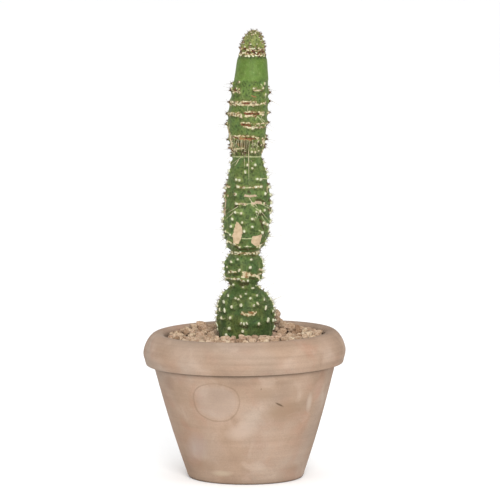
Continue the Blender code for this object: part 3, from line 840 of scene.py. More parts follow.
# (across, up, wide, tall in mm, dark core) of the ones on the front of the tip.
TIP_FRONT = (
    (-0.2, 204.5, 1.5, 1.5, 1), (-0.4, 201.4, 1.9, 1.8, 1), (3.7, 201.0, 1.6, 1.3, 1),
    (-2.3, 197.7, 2.0, 1.8, 1), (0.3, 198.3, 1.9, 1.3, 0), (3.7, 198.1, 2.0, 1.7, 1),
    (7.6, 198.1, 1.8, 1.5, 1), (9.7, 197.3, 1.6, 1.3, 0), (13.6, 198.1, 1.6, 1.7, 1),
    (13.6, 202.0, 1.5, 1.5, 1), (12.7, 205.4, 1.5, 1.6, 1), (11.6, 207.2, 1.6, 1.5, 1),
    (10.1, 208.0, 1.8, 1.3, 1), (10.1, 205.6, 1.6, 1.5, 1), (11.0, 203.5, 1.4, 1.6, 1),
    (12.0, 201.2, 1.4, 1.4, 1), (5.2, 197.0, 1.6, 1.1, 0), (8.6, 200.2, 1.2, 0.9, 0),
)

draw = random.Random(AREOLE_SEED)


def crowded(angle, height, least):
    """Whether another areole already sits too close."""
    for other in areoles:
        round_by = wrapped(angle - other[0]) * radius_at(height)
        if math.hypot(round_by, height - other[1]) < least:
            return True
    return False


for rib in range(RIBS):
    height = 0.0015 + AREOLE_STEP * (0.5 * (rib % 2) + draw.uniform(0, 0.2))
    while height < BELT[0]:
        angle = wrapped(2 * math.pi * rib / RIBS + draw.uniform(-0.07, 0.07))
        place = height + draw.uniform(-0.0007, 0.0007)
        if height > CONE_ROWS[0] - 0.002:
            # On the upper cone they only sit in rows, along the splits.
            place += min(CONE_ROWS, key=lambda row: abs(row - height)) - height
        if abs(angle) > FRONT_HALF and not crowded(angle, place, CROWDED):
            core = draw.choice((1, 2)) if place > CONE_FROM else int(draw.random() < 0.15)
            wide, tall = draw.uniform(0.0015, 0.0022), draw.uniform(0.0018, 0.0028)
            areoles.append((angle, place, wide, tall, draw.uniform(-0.4, 0.4), core, 1.0))
            if draw.random() < DEAD_SHARE:
                turn = angle + draw.uniform(-0.12, 0.12)
                areoles.append((turn, place + 0.0021, 0.0014, 0.0015, 0.0, 2, 0.55))
        height += AREOLE_STEP * draw.uniform(0.9, 1.12)
side_count = len(areoles)
for across, up, wide, tall, core in TIP_FRONT:
    angle, height = seen(across, up)
    areoles.append((angle, height, wide * MM, tall * MM, 0.0, core, 0.6))
for number in range(TIP_AREOLES):
    share = (number + 0.5) / TIP_AREOLES
    arc = arc_at(TIP_STARTS) * (1 - share) ** 0.62
    height = float(np.interp(arc, row_arc, row_height))
    angle = wrapped(number * GOLDEN_ANGLE)
    size = 0.8 - 0.3 * share
    wide = 0.0017 * size * draw.uniform(0.8, 1.2)
    if (abs(angle) > FRONT_HALF or share > 0.8) and not crowded(angle, height, 0.0013):
        areoles.append((angle, height, wide, wide * 1.1, draw.uniform(-0.5, 0.5), 1, 0.8 * size))
print(side_count, "areoles below the tip and", len(areoles) - side_count, "on it")

# %% [markdown]
# ## Cork, cracks and scars
#
# Growth in fits and starts has split the skin across in several places. A split shows
# as a dark brown crack between two lips of pale cork. Smaller dry lines join areoles,
# and two wounds have healed as flat pinkish scars. Each is drawn like a brush stroke:
# a line of spots on the front in millimetres, with half its width. Strokes of one kind
# make one mask, which both moves the skin and colours it.

# %% Strokes of the front
# Cork is pale and dry, a blush is pinkish, rust red-brown, a shade is a dark hollow and
# wax a pale line. Each row has half the width, then each spot as (across, up), in mm.
FRONT_STROKES = {
    "cork": (
        (0.85, (-3.6, 194.4), (-0.8, 194.0), (2.6, 193.4), (6.8, 193.1), (10.5, 193.0), (14.4, 193.8)),
        (0.60, (-2.6, 196.9), (1.2, 196.3), (5.1, 196.5), (8.4, 195.6), (12.7, 196.2)),
        (0.62, (-9.4, 160.0), (-5.7, 160.3), (-2.2, 160.4), (2.6, 160.4), (7.1, 160.3)),
        (0.62, (-9.1, 158.5), (-5.7, 158.6), (-2.2, 158.6), (2.6, 158.4), (7.1, 158.4)),
        (0.41, (8.2, 158.6), (10.6, 158.4), (13.0, 159.7), (15.1, 160.3)),
        (0.55, (-11.3, 152.6), (-8.4, 152.8), (-4.3, 152.7), (-2.3, 151.7)),
        (0.55, (-10.8, 151.3), (-7.7, 151.3), (-4.3, 151.0), (-1.9, 149.8)),
        (0.45, (-0.3, 153.0), (1.9, 153.4), (5.4, 153.4), (9.5, 153.2), (13.7, 153.1)),
        (0.70, (0.9, 150.8), (3.0, 150.6), (5.4, 151.0), (8.2, 150.5)),
        (0.62, (10.6, 152.4), (12.2, 151.1), (13.3, 151.8)),
        (0.45, (-2.5, 145.6), (-0.8, 146.0), (2.3, 145.9), (5.0, 145.3)),
        (0.55, (-0.4, 143.2), (1.7, 143.0), (3.7, 143.1)), (0.80, (4.3, 142.9), (6.2, 142.3)),
        (0.41, (6.1, 145.0), (9.5, 145.3), (13.0, 145.5), (16.0, 145.9)),
        (0.55, (6.4, 143.0), (9.5, 142.8), (13.4, 143.2)),
        (2.20, (-11.5, 142.4), (-10.9, 139.6), (-10.0, 135.5), (-8.8, 129.9), (-8.2, 127.2)),
        (0.52, (-8.2, 136.2), (-5.0, 136.6), (-1.5, 136.8), (2.6, 136.7), (6.8, 136.2), (10.0, 135.3)),
        (0.50, (-5.5, 128.1), (-1.9, 128.1), (1.7, 128.0)), (0.41, (-1.8, 126.1), (-1.2, 124.0)),
        (1.50, (13.0, 134.8), (13.6, 131.3), (13.0, 127.9), (12.1, 125.4)),
        (0.45, (6.1, 168.5), (8.8, 168.1), (11.9, 168.5)),
        (0.60, (-9.0, 168.9), (-7.0, 167.4), (-4.4, 167.6), (-3.6, 169.2)),
        (0.60, (-5.3, 102.1), (-2.4, 101.4), (-0.4, 101.1)),
        (0.60, (3.3, 101.2), (6.8, 101.4), (9.4, 101.7), (11.9, 102.3)),
        (0.70, (-5.9, 90.2), (-2.9, 89.9), (0.6, 89.8)), (0.50, (11.6, 77.6), (14.6, 75.8), (15.8, 73.8)),
        (0.50, (15.4, 101.8), (16.2, 98.6)),
        (0.41, (-11.5, 64.5), (-9.5, 63.0), (-5.7, 61.6), (-3.0, 60.2)),
        (0.48, (8.8, 60.2), (11.9, 61.6), (14.1, 64.1)),
        (0.36, (-6.6, 56.9), (-3.9, 56.2), (-0.1, 55.9), (4.0, 55.9), (7.7, 56.5), (9.5, 57.4)),
        (0.30, (-8.3, 56.2), (-6.1, 55.0), (-2.3, 55.5), (2.3, 55.1), (6.5, 55.5), (8.8, 54.8)),
        (1.05, (-0.8, 41.6), (-0.4, 39.6), (2.6, 39.7), (2.9, 41.8), (1.1, 41.8)),
        (0.70, (3.5, 40.7), (6.4, 40.3), (9.4, 39.7), (10.1, 38.3)), (0.34, (9.1, 41.1), (11.5, 41.8)),
        (0.60, (-11.6, 42.3), (-8.8, 42.9), (-5.9, 42.6)),
        (0.45, (-13.1, 38.7), (-8.7, 37.9), (-4.1, 38.0), (-2.2, 36.8), (0.0, 36.2)),
        (0.95, (-1.6, 14.4), (0.6, 13.4), (2.6, 12.7)), (1.05, (2.6, 12.7), (5.0, 13.6), (7.8, 14.3)),
    ),
    "crack": (
        (0.50, (-3.6, 195.6), (-2.6, 195.3)), (0.55, (-1.2, 196.6), (0.7, 197.0)),
        (0.45, (2.3, 195.1), (3.0, 194.4)), (0.90, (5.2, 195.3), (6.8, 195.0)),
        (0.65, (7.4, 193.9), (9.3, 193.3)), (0.50, (10.0, 194.4), (11.4, 194.8)),
        (0.90, (12.6, 195.3), (14.0, 194.4)), (0.30, (-2.2, 159.6), (0.1, 159.5)),
        (0.62, (0.3, 159.6), (1.9, 159.1), (3.1, 159.5)), (0.42, (5.4, 159.6), (6.9, 159.1)),
        (0.45, (-6.9, 152.2), (-6.0, 151.9)),
        (0.60, (0.1, 152.5), (2.3, 151.8), (5.0, 152.4), (7.8, 151.8), (9.8, 152.4)),
        (0.62, (-1.9, 144.8), (0.6, 144.6), (4.3, 143.9)), (0.60, (-6.9, 135.9), (-4.2, 135.5)),
        (0.60, (0.4, 135.3), (3.3, 135.4), (7.4, 134.8)), (0.45, (-0.6, 125.4), (0.6, 125.2)),
        (0.62, (-7.4, 168.7), (-5.6, 168.2)), (0.40, (-3.8, 167.9), (-3.2, 166.8)),
        (0.40, (-4.3, 55.4), (-3.6, 54.6)),
    ),
    "blush": (
        (0.60, (-2.2, 159.4), (7.5, 159.3)), (0.40, (2.4, 151.2), (5.0, 151.4), (7.6, 150.9)),
        (0.85, (12.6, 134.6), (14.2, 131.7)), (0.85, (-10.4, 137.8), (-9.6, 132.7), (-8.6, 129.2)),
        (0.80, (0.7, 95.4), (3.3, 95.0), (7.9, 95.6)), (0.85, (5.4, 90.3), (8.2, 90.7), (11.3, 90.6)),
        (0.70, (-13.9, 81.4), (-14.2, 77.4)), (1.60, (-13.1, 97.4), (-13.6, 89.1), (-13.8, 83.5)),
        (0.60, (10.5, 44.6), (12.6, 43.5)),
    ),
    "rust": (
        (0.95, (-2.3, 134.8), (0.6, 134.5), (3.9, 134.7)),
        (1.30, (-4.2, 130.6), (-1.4, 130.8), (1.6, 129.8)),
        (0.34, (4.8, 164.7), (6.4, 164.0), (7.9, 163.9)), (0.31, (1.4, 42.1), (1.0, 39.2)),
        (0.40, (2.9, 15.0), (3.4, 14.4), (5.0, 14.7), (5.6, 13.8)), (0.30, (-2.4, 13.6), (-1.0, 13.0)),
    ),
    "shade": (
        (0.85, (-5.9, 133.4), (-6.4, 129.9)), (0.85, (-3.5, 133.4), (-3.6, 129.7)),
        (0.95, (1.0, 133.3), (0.8, 129.0)), (0.75, (-1.2, 133.3), (-1.3, 129.6)),
        (0.80, (2.6, 131.6), (1.2, 125.4)), (0.90, (-0.4, 126.9), (0.3, 123.7)),
        (0.80, (-5.9, 125.4), (-5.3, 123.8)), (0.80, (-2.3, 125.2), (-2.0, 123.8)),
        (0.80, (10.2, 130.8), (11.3, 129.4)), (0.75, (3.4, 132.4), (5.8, 132.4)),
        (1.10, (-4.4, 126.4), (-1.0, 126.0), (2.2, 125.6)), (0.70, (5.4, 129.6), (7.4, 129.2)),
        (0.60, (8.8, 132.2), (10.4, 131.4)), (0.70, (2.6, 98.6), (3.9, 97.5)),
        (0.60, (-4.6, 89.2), (-6.8, 87.8)), (0.60, (12.4, 91.8), (14.2, 91.2)),
        (0.70, (10.6, 82.2), (13.6, 82.6)), (0.80, (11.2, 79.0), (12.4, 75.0), (13.4, 72.4)),
        (0.70, (13.8, 69.6), (14.6, 67.0)), (0.60, (8.6, 92.6), (11.4, 93.0)),
        (0.60, (14.4, 99.6), (15.6, 96.4), (16.0, 93.4)), (0.60, (-11.4, 86.4), (-12.6, 83.2)),
        (0.60, (-12.2, 100.8), (-13.0, 97.2)), (0.90, (-6.4, 60.0), (-2.6, 58.4), (2.0, 58.2), (7.0, 58.9)),
        (0.60, (4.6, 54.6), (8.2, 53.4)), (0.60, (3.6, 38.4), (7.6, 37.6)),
        (0.60, (-6.9, 41.0), (-4.6, 40.4)), (1.20, (-2.6, 34.2), (2.4, 34.4)),
        (0.80, (-1.6, 4.4), (1.0, 4.2)),
    ),
    "wax": (
        (0.31, (8.8, 150.6), (11.3, 148.4), (12.7, 146.6)),
        (0.28, (11.5, 150.9), (12.0, 148.9), (14.0, 147.0)), (0.28, (8.4, 150.3), (7.9, 148.2)),
        (0.31, (-4.6, 134.0), (-6.2, 129.5), (-7.9, 126.2)),
        (0.42, (-2.3, 134.1), (-2.5, 128.4), (-1.7, 123.3)), (0.38, (-5.6, 134.0), (-8.4, 128.0)),
        (0.31, (2.1, 132.7), (0.3, 127.4)), (0.31, (-0.7, 133.0), (-1.1, 128.6)),
        (0.34, (3.7, 133.7), (6.6, 131.9), (9.8, 129.8)), (0.24, (5.1, 131.6), (4.7, 127.9)),
        (0.24, (6.9, 131.3), (6.8, 127.7)),
        (0.38, (-7.7, 122.7), (-2.9, 122.5), (2.6, 122.5), (8.2, 122.5), (13.1, 122.7)),
        (0.24, (2.2, 157.7), (2.2, 153.5)), (0.28, (13.8, 165.4), (14.5, 162.5)),
        (0.34, (11.4, 172.8), (12.6, 170.5)), (0.30, (-5.0, 106.7), (-2.6, 106.2)),
        (0.35, (8.0, 107.0), (11.9, 107.5), (15.6, 107.2)), (0.38, (-0.4, 101.1), (3.3, 101.2)),
        (0.34, (0.6, 89.8), (4.3, 90.0)), (0.34, (12.0, 89.6), (14.9, 88.1), (17.3, 87.0)),
        (0.34, (5.1, 89.3), (7.0, 87.9)), (0.40, (8.2, 86.8), (10.6, 84.4), (12.8, 80.6), (14.6, 77.0)),
        (0.30, (9.2, 84.6), (7.8, 80.8), (6.6, 78.6)), (0.34, (10.4, 71.6), (13.2, 69.4), (15.0, 66.2)),
        (0.28, (-6.1, 84.2), (-2.2, 83.5)), (0.34, (-1.8, 65.9), (1.8, 65.8), (5.8, 66.0)),
        (0.40, (-0.8, 60.4), (1.9, 60.4), (4.6, 60.4)), (0.34, (-12.6, 71.0), (-9.3, 68.7), (-8.8, 67.4)),
        (0.24, (-15.3, 9.6), (-13.4, 10.6)), (0.30, (-12.0, 3.8), (-9.0, 2.7)),
    ),
}
# The two healed wounds, as corners in order round each.
SCARS = (
    ((-5.8, 77.7), (-4.4, 77.0), (-1.9, 74.3), (-1.4, 70.1), (-2.4, 66.4),
     (-4.4, 62.2), (-7.7, 62.7), (-8.4, 67.3), (-7.0, 72.9)),
    ((5.7, 67.3), (9.4, 67.8), (12.2, 69.6), (11.8, 65.4), (10.4, 61.3),
     (7.6, 60.8), (4.8, 62.7), (5.0, 65.0)),
)

strokes = []
for kind, rows in FRONT_STROKES.items():
    for half, *spots in rows:
        strokes.append((kind, half * MM, [seen(across, up) for across, up in spots]))
scars = [[seen(across, up) for across, up in corners] for corners in SCARS]
print(len(strokes), "strokes on the front")

# %% Strokes of the sides and back
STROKE_SEED = 8
# Splits run on round the plant at these heights: (height in mm, share of the way).
SPLIT_HEIGHTS = (
    (168.8, 0.3), (160.2, 0.7), (152.8, 0.8), (145.4, 0.8), (136.2, 0.9), (131.0, 0.4), (127.0, 0.5),
    (102.6, 0.5), (96.4, 0.2), (90.8, 0.5), (66.0, 0.4), (61.8, 0.5), (41.4, 0.7), (38.6, 0.5), (15.2, 0.3),
)
# Healed wounds of the sides and back: (turn and half width in degrees, foot and height).
SIDE_WOUNDS = ((150, 13, 0.0660, 0.0120), (236, 10, 0.0830, 0.0085), (200, 9, 0.0090, 0.0080))
draw = random.Random(STROKE_SEED)


def split_round(middle, share):
    """Broken lengths of a split over a share of the sides and back, at about one height."""
    angle = math.radians(76)
    while angle < math.radians(276):
        end = angle + math.radians(draw.uniform(12, 36))
        if draw.random() < share:
            heights = [middle + draw.uniform(-0.0009, 0.0009) for _ in range(4)]
            turns = [angle + (end - angle) * step / 3 for step in range(4)]
            opened = 0.0008 if draw.random() < 0.45 else 0.0
            for side in (-1, 1):
                lip = [(turn, height + side * opened) for turn, height in zip(turns, heights)]
                yield "cork", draw.uniform(0.0004, 0.0006), lip
            if opened:
                yield "crack", draw.uniform(0.0004, 0.0006), list(zip(turns, heights))[1:3]
        angle = end + math.radians(draw.uniform(4, 18))


for height, share in SPLIT_HEIGHTS:
    strokes += split_round(height * MM, share)
# Pale dry rings right round, in the necks and under the tip: (kind, height, half width,
# where it starts and how far each step goes, in degrees).
DRY_RINGS = (
    ("cork", 0.1937, 0.0009, 66, 28.5),
    ("cork", 0.1966, 0.0006, 66, 28.5),
    ("cork", 0.0565, 0.0009, 66, 28.5),
    ("wax", 0.1232, 0.0003, 60, 30),
    ("wax", 0.0334, 0.0003, 60, 30),
)
for kind, height, half, start, step_round in DRY_RINGS:
    turns = [math.radians(start + step_round * step) for step in range(9)]
    strokes.append((kind, half, [(turn, height + draw.uniform(-3e-4, 3e-4)) for turn in turns]))
# Dark dead areoles in the ring under the tip.
for number in range(13):
    turn = math.radians(82 + 16.5 * number + draw.uniform(-3, 3))
    place = 0.1945 + draw.uniform(-0.0012, 0.0016)
    spots = [(turn, place), (turn + draw.uniform(0.1, 0.2), place + draw.uniform(-4e-4, 4e-4))]
    strokes.append(("crack", draw.uniform(0.0005, 0.0009), spots))
# Dry lines have run down the cone between its lower splits, all round.
for _ in range(18):
    turn = math.radians(draw.uniform(78, 282))
    low = draw.uniform(0.1235, 0.1290)
    high = low + draw.uniform(0.003, 0.006)
    kind = draw.choice(("cork", "cork", "shade"))
    strokes.append((kind, draw.uniform(3e-4, 6e-4), [(turn, low), (turn + 0.1, high)]))
for turn, wide, foot, tall in SIDE_WOUNDS:
    corners = []
    for step in range(10):
        way = 2 * math.pi * step / 10
        narrow = 1 - 0.35 * math.cos(way) + draw.uniform(-0.1, 0.1)
        round_by = math.radians(wide) * math.sin(way) * narrow
        corners.append((math.radians(turn) + round_by, foot + tall * (0.5 + 0.5 * math.cos(way))))
    scars.append(corners)
print(len(strokes), "strokes and", len(scars), "scars in all")

# %% [markdown]
# ## Masks
#
# Both the relief and the colours need to know how near each point of the skin is to
# each stroke and areole. The skin is unrolled for this: one direction is the angle
# times the radius, the other the way along the outline. A little noise shifts each
# point first, so that no edge is drawn with a ruler. NumPy does this for all points
# of the skin at once.

# %% Unrolled skin
skin = spun(list(zip(row_radius, row_height)), STEM_STEPS)
points = np.array([vertex.co[:] for vertex in skin.verts])
height = points[:, 2]
angle = np.arctan2(points[:, 0], -points[:, 1])
radius = np.hypot(points[:, 0], points[:, 1])
arc = arc_at(height)


def noise_at(places, size, shift=0.0):
    """Smooth noise from -1 to 1, with lumps of the given size, at each place."""
    offset = Vector((shift, shift, shift))
    return np.array([noise.noise(Vector(place) / size + offset) for place in places])


EDGE_SHIFT = 0.00024
shift_round = EDGE_SHIFT * noise_at(points, 0.0014)
shift_along = EDGE_SHIFT * noise_at(points, 0.0014, 7.3)
lumps = noise_at(points, 0.0060, 3.1)
bumps = noise_at(points, 0.0024, 4.4)
fine = noise_at(points, 0.0011, 5.7)
uneven = noise_at(points, 0.0022, 9.1)
print(len(points), "points on the skin")

# %% Masks on the skin
# How much noise makes each kind of stroke wider or narrower along its way.
RAGGED = {"cork": 1.3, "crack": 0.9, "blush": 1.2, "rust": 0.9, "shade": 0.8, "wax": 0.9}
DRY_REACH = 0.0024


def near_radius(height):
    """The outline's radius, but never so small that the tip can't be unrolled."""
    return max(float(radius_at(height)), 0.0015)


def unrolled(spot):
    """Each skin point's place as seen from one spot, in metres: round and along."""
    spot_angle, spot_height = spot
    across = wrapped(angle - spot_angle) * near_radius(spot_height) + shift_round
    return across, arc_at(spot_height) - arc + shift_along


def to_line(start, end):
    """From each skin point to the line between two spots: its parts and its length."""
    across, along = unrolled(start)
    run = wrapped(end[0] - start[0]) * near_radius(start[1])
    rise = float(arc_at(start[1]) - arc_at(end[1]))
    share = np.clip((across * run + along * rise) / max(run**2 + rise**2, 1e-12), 0, 1)
    return across, along, run, rise, np.hypot(across - share * run, along - share * rise)


def scar_share(corners):
    """1 inside a closed outline, 0 outside, with a soft edge."""
    inside = np.zeros(len(points), bool)
    nearest = np.full(len(points), 1.0)
    for start, end in zip(corners, corners[1:] + corners[:1]):
        across, along, run, rise, distance = to_line(start, end)
        nearest = np.minimum(nearest, distance)
        crosses = (along >= min(0, rise)) & (along < max(0, rise))
        inside ^= crosses & (across < along * run / (rise if rise else 1e-9))
    # Only the near side counts: the unrolled skin comes round again behind.
    inside &= np.abs(wrapped(angle - corners[0][0])) < 1.2
    return np.clip(np.where(inside, 1, -1) * nearest / 0.0004 + 0.5, 0, 1)


def band(low, high):
    """1 between two heights of the skin and 0 outside, with 2 mm of soft edge."""
    return np.clip((height - low) / 0.002, 0, 1) * np.clip((high - height) / 0.002, 0, 1)


masks = {name: np.zeros(len(points)) for name in (*RAGGED, "scar", "dry")}
for kind, half, spots in strokes:
    wide = np.maximum(half * (1 + RAGGED[kind] * uneven), 0.00012)
    nearest = np.min([to_line(start, end)[4] for start, end in zip(spots, spots[1:])], axis=0)
    masks[kind] = np.maximum(masks[kind], np.clip((1.5 * wide - nearest) / wide, 0, 1))
    if kind in ("cork", "crack"):
        masks["dry"] = np.maximum(masks["dry"], np.clip(1 - nearest / DRY_REACH, 0, 1))
for corners in scars:
    masks["scar"] = np.maximum(masks["scar"], scar_share(corners))
# The lowest part of the cone is dry and olive all over.
masks["dry"] = np.maximum(masks["dry"], 0.6 * band(0.1225, 0.1375))
masks["cork"] *= 1 - masks["crack"]
for name, mask in masks.items():
    print(name, "covers", round(100 * float((mask > 0.5).mean()), 1), "% of the skin's points")

# %% [markdown]
# ## Relief
#
# Now the skin is moved: a knob under each areole, soft lumps everywhere, cork a third
# of a millimetre proud, cracks two thirds deep, scars a little sunk. Nothing moves
# below the pebbles, where the plant's foot stands in its hole.

# %% Relief
KNOB = 0.0011
KNOB_HALF = 0.0019
INSET = 0.00045
# How far each kind of stroke stands out of the skin.
PROUD = {
    "cork": 0.0003,
    "crack": -0.00065,
    "shade": -0.0003,
    "blush": 0.0002,
    "rust": -0.0002,
    "scar": -0.00015,
}

knob = np.zeros(len(points))
halo = np.zeros(len(points))
under = np.zeros(len(points))
for spot in areoles:
    across, along = unrolled(spot[:2])
    size = spot[6]
    apart = np.hypot(across, along) / (KNOB_HALF * size)
    knob = np.maximum(knob, size * np.exp(-(apart**2)))
    halo = np.maximum(halo, np.exp(-((apart * 1.5) ** 2)))
    # Painted shadow: a dark crescent under each areole, where its knob and wool cast shade.
    below = np.hypot(across / (1.5 * MM * size), (along + 1.9 * MM * size) / (1.0 * MM * size))
    under = np.maximum(under, np.exp(-(below**2)))
shows = np.clip((height - 0.0005) / 0.0045, 0, 1)
belt = band(*BELT)
raised = KNOB * knob * (1 - 0.6 * belt) + 0.00018 * lumps * (1 - belt) + 0.00004 * fine
raised += (0.00018 * bumps + 0.00008 * fine) * (1 - belt)
for name, proud in PROUD.items():
    raised += proud * masks[name]
raised = (raised - INSET * (1 - belt)) * shows * np.clip(radius / 0.003, 0, 1)
across = axis_at(height) + (radius + raised) * np.sin(angle)
along = -(radius + raised) * np.cos(angle)
# Painted shade: the hollows between the knobs are darkened, away from the belt.
furrow = np.clip(1 - knob * 1.6, 0, 1) * shows * (1 - belt)
speckle = np.clip(furrow * 1.5, 0, 1)
values = {**masks, "halo": halo, "under": under, "furrow": furrow, "speckle": speckle}
values["old"] = 1 - 0.7 * belt
skin.verts.ensure_lookup_table()
layers = {name: skin.verts.layers.float.new(name) for name in values}
for number, vertex in enumerate(skin.verts):
    vertex.co = (across[number], along[number], GRAVEL_TOP + height[number])
    for name, layer in layers.items():
        vertex[layer] = values[name][number]
skin.normal_update()
skin_tree = BVHTree.FromBMesh(skin)
print("highest point of the skin:", round(1000 * (GRAVEL_TOP + float(height.max())), 1), "mm")


def on_skin(angle, height):
    """The point of the finished skin at an angle and height, and the way it faces."""
    out = Vector((math.sin(angle), -math.cos(angle), 0.0))
    axis = Vector((float(axis_at(height)), 0.0, GRAVEL_TOP + height))
    hit = skin_tree.ray_cast(axis + out * 0.05, -out)[0] or axis
    step = 0.0008
    slope = float(radius_at(height + step) - radius_at(height - step)) / (2 * step)
    return hit, Vector((out.x, out.y, -max(-6.0, min(6.0, slope)))).normalized()


def along_skin(facing):
    """The way up along the skin and the way to its side, where it faces this way."""
    up = (Vector((0, 0, 1)) - facing * facing.z).normalized()
    return up, up.cross(facing)


# %% [markdown]
# ## Skin finish
#
# The skin of a cactus is a waxy cuticle over green flesh: satin under a faint bloom,
# yellow-green where it is young at the tip and deeper green lower down. The masks
# carried by the mesh bring in dry cork (pale, rough), the brown floor of each crack,
# pinkish scar tissue and rust-coloured dry skin. Fine noise breaks up each mask's edge,
# so a line stays crisp where the mesh is coarser than the drawing.

# %% Skin finish
LOOKS = {
    "Roughness": 0.6,
    "IOR": 1.42,
    "Specular IOR Level": 0.2,
    # The bloom of wax looks grey where the skin turns away from the eye.
    "Sheen Weight": 0.16,
    "Sheen Roughness": 0.4,
    "Sheen Tint": paint("#C3CC9A"),
}
green, add, shader, place = new_material("cactus_skin_waxy_cuticle", LOOKS)
level = add("SeparateXYZ", {0: place}, out="Z")
level = add("MapRange", {0: level, 1: GRAVEL_TOP, 2: GRAVEL_TOP + STEM_OUTLINE[0][0]})
# Age from the pebbles (0) to the tip (1).
AGE_TONES = (
    (0.0, "#344521"), (0.10, "#36491C"), (0.30, "#485E31"), (0.52, "#586A33"), (0.73, "#5E7035"),
    (0.80, "#5B7032"), (0.86, "#4C6428"), (0.91, "#4A6226"), (0.94, "#888B46"), (1.0, "#96925C"),
)
colour = add("ValToRGB", {0: level}, AGE_TONES)
# Growth was uneven, so the green is too. (size in mm, squeezed upright by, where the
# patch starts and is full, most of it shown, colour): olive, blue-green and yellow-green.
# The bare belt under the tip is the newest skin, so it shows the least of this.
old = add("Attribute", out="Fac", attribute_name="old")
for size, squeeze, starts, full, most, code in (
    (7.0, 1.0, 0.48, 0.64, 0.60, "#555626"),
    (6.0, 0.8, 0.52, 0.66, 0.40, "#3B603B"),
    (4.5, 0.4, 0.52, 0.68, 0.65, "#73824A"),
    (2.6, 0.7, 0.50, 0.66, 0.50, "#2F3D1C"),
):
    scale = 1000 / size
    sockets = {0: place, "Location": (size, 0.0, 0.0), "Scale": (scale, scale, squeeze * scale)}
    patch = add("TexNoise", {"Vector": add("Mapping", sockets), "Scale": 1.0, "Detail": 2.0})
    most = add("Math", {0: old, 1: most}, operation="MULTIPLY")
    colour = patched(add, colour, patch, (starts, full), (0.0, most), code)
# Pale pores and wax specks, 0.7 mm, drawn larger than life so that they show.
speck = add("TexNoise", {"Vector": place, "Scale": 1500.0, "Detail": 2.0})
colour = patched(add, colour, speck, (0.56, 0.72), (0.0, 0.4), "#7E8C5C")
print("the green skin takes", len(green.node_tree.nodes), "nodes")

# %% Dry places of the skin
# Patterns 0.9, 1.2 and 1.9 mm wide.
ragged = add("TexNoise", {"Vector": place, "Scale": 1100.0, "Detail": 3.0})
pits = add("TexNoise", {"Vector": place, "Scale": 800.0, "Detail": 2.0})
flakes = add("TexNoise", {"Vector": place, "Scale": 520.0, "Detail": 3.0})
# How much noise shifts the edge of each stroke, and where the edge then lies.
EDGE_NOISE = 1.5
EDGE = EDGE_NOISE / 2 + 0.43
EDGE_SOFT = 0.14
# Cork has flaked off in places and shows the brown underneath.
CORK_TONES = ((0.36, "#615132"), (0.44, "#917E5C"), (0.50, "#B0A687"), (0.62, "#B9B095"))
# (mask, colour, how much of it shows)
for mask, code, most in (
    # Painted shade in the hollows between the knobs.
    ("furrow", "#2A3D1C", 0.35),
    ("speckle", "#273417", 0.75),
    ("dry", "#565129", 0.55),
    # Painted shadow under each areole.
    ("under", "#242C13", 0.8),
    ("halo", "#788344", 0.45),
    ("scar", "#AC977C", 1.0),
    ("blush", "#A28D78", 0.9),
    ("wax", "#949770", 0.85),
    ("cork", "#B0A687", 1.0),
    ("rust", "#815B3A", 0.9),
    ("shade", "#363416", 0.9),
    ("crack", "#512F1C", 0.95),
):
    amount = add("Attribute", out="Fac", attribute_name=mask)
    tint = paint(code)
    if mask in ("furrow", "halo", "dry", "under"):
        share = add("Math", {0: amount, 1: most}, operation="MULTIPLY")
    elif mask == "speckle":
        # Dark pits between the knobs, drawn larger than life.
        share = add("MapRange", {0: pits, 1: 0.36, 2: 0.46, 3: most, 4: 0.0})
        share = add("Math", {0: share, 1: amount}, operation="MULTIPLY")
    else:
        rough = add("Math", {0: ragged, 1: EDGE_NOISE, 2: amount}, operation="MULTIPLY_ADD")
        share = add("MapRange", {0: rough, 1: EDGE - EDGE_SOFT, 2: EDGE + EDGE_SOFT, 4: most})
    if mask == "cork":
        dry = share
        tint = add("ValToRGB", {0: flakes}, CORK_TONES)
    if mask == "crack":
        tint = add("ValToRGB", {0: pits}, ((0.40, "#412310"), (0.60, "#70432B")))
    colour = add("Mix", {SHARE: share, FIRST: colour, SECOND: tint}, out=MIXED, data_type="RGBA")
# Brown veins in the cork, about 1 mm apart.
veined = add("Math", {0: dry, 1: 0.8}, operation="MULTIPLY")
colour = stained(add, colour, ragged, veined, ((0.36, "#B8A183"), (0.52, "#FFFFFF")))
# Soft clouds, 2.5 mm wide, over everything.
cloud = add("TexNoise", {"Vector": place, "Scale": 400.0, "Detail": 3.0})
colour = stained(add, colour, cloud, 0.5, ((0.3, "#C4BFA8"), (0.6, "#FFFFFF")))
# Cork is rougher than the waxy skin.
gloss = add("MapRange", {0: dry, 3: 0.6, 4: 0.85})
bump = add("Bump", {"Strength": 0.5, "Distance": 0.0002, "Height": ragged})
fill(shader, {"Base Color": colour, "Roughness": gloss, "Normal": bump})
finish_piece(skin, "stem_skin", green, "stem", sharp=80)

# %% [markdown]
# ## Wool
#
# Each areole holds a pad of short cream wool, and the older ones have a brown middle
# where spines have died. A pad is a small lumpy ball of 40 faces, pressed flat, turned
# to the slant that the picture shows and sunk a little into its knob. Its pole faces
# out, so the pole's one point can carry the brown middle.

# %% Wool tufts
WOOL_SEED = 31
RING = (0.1926, 0.1945, 0.1964)
RING_COUNT = 24
TAN_WOOL_FROM = 0.120
NECK = 0.0567
NECK_TUFTS = 22
CROWN_TOP = 0.2096
CROWN_TUFTS = 16
draw = random.Random(WOOL_SEED)
wool, _ = new_part()


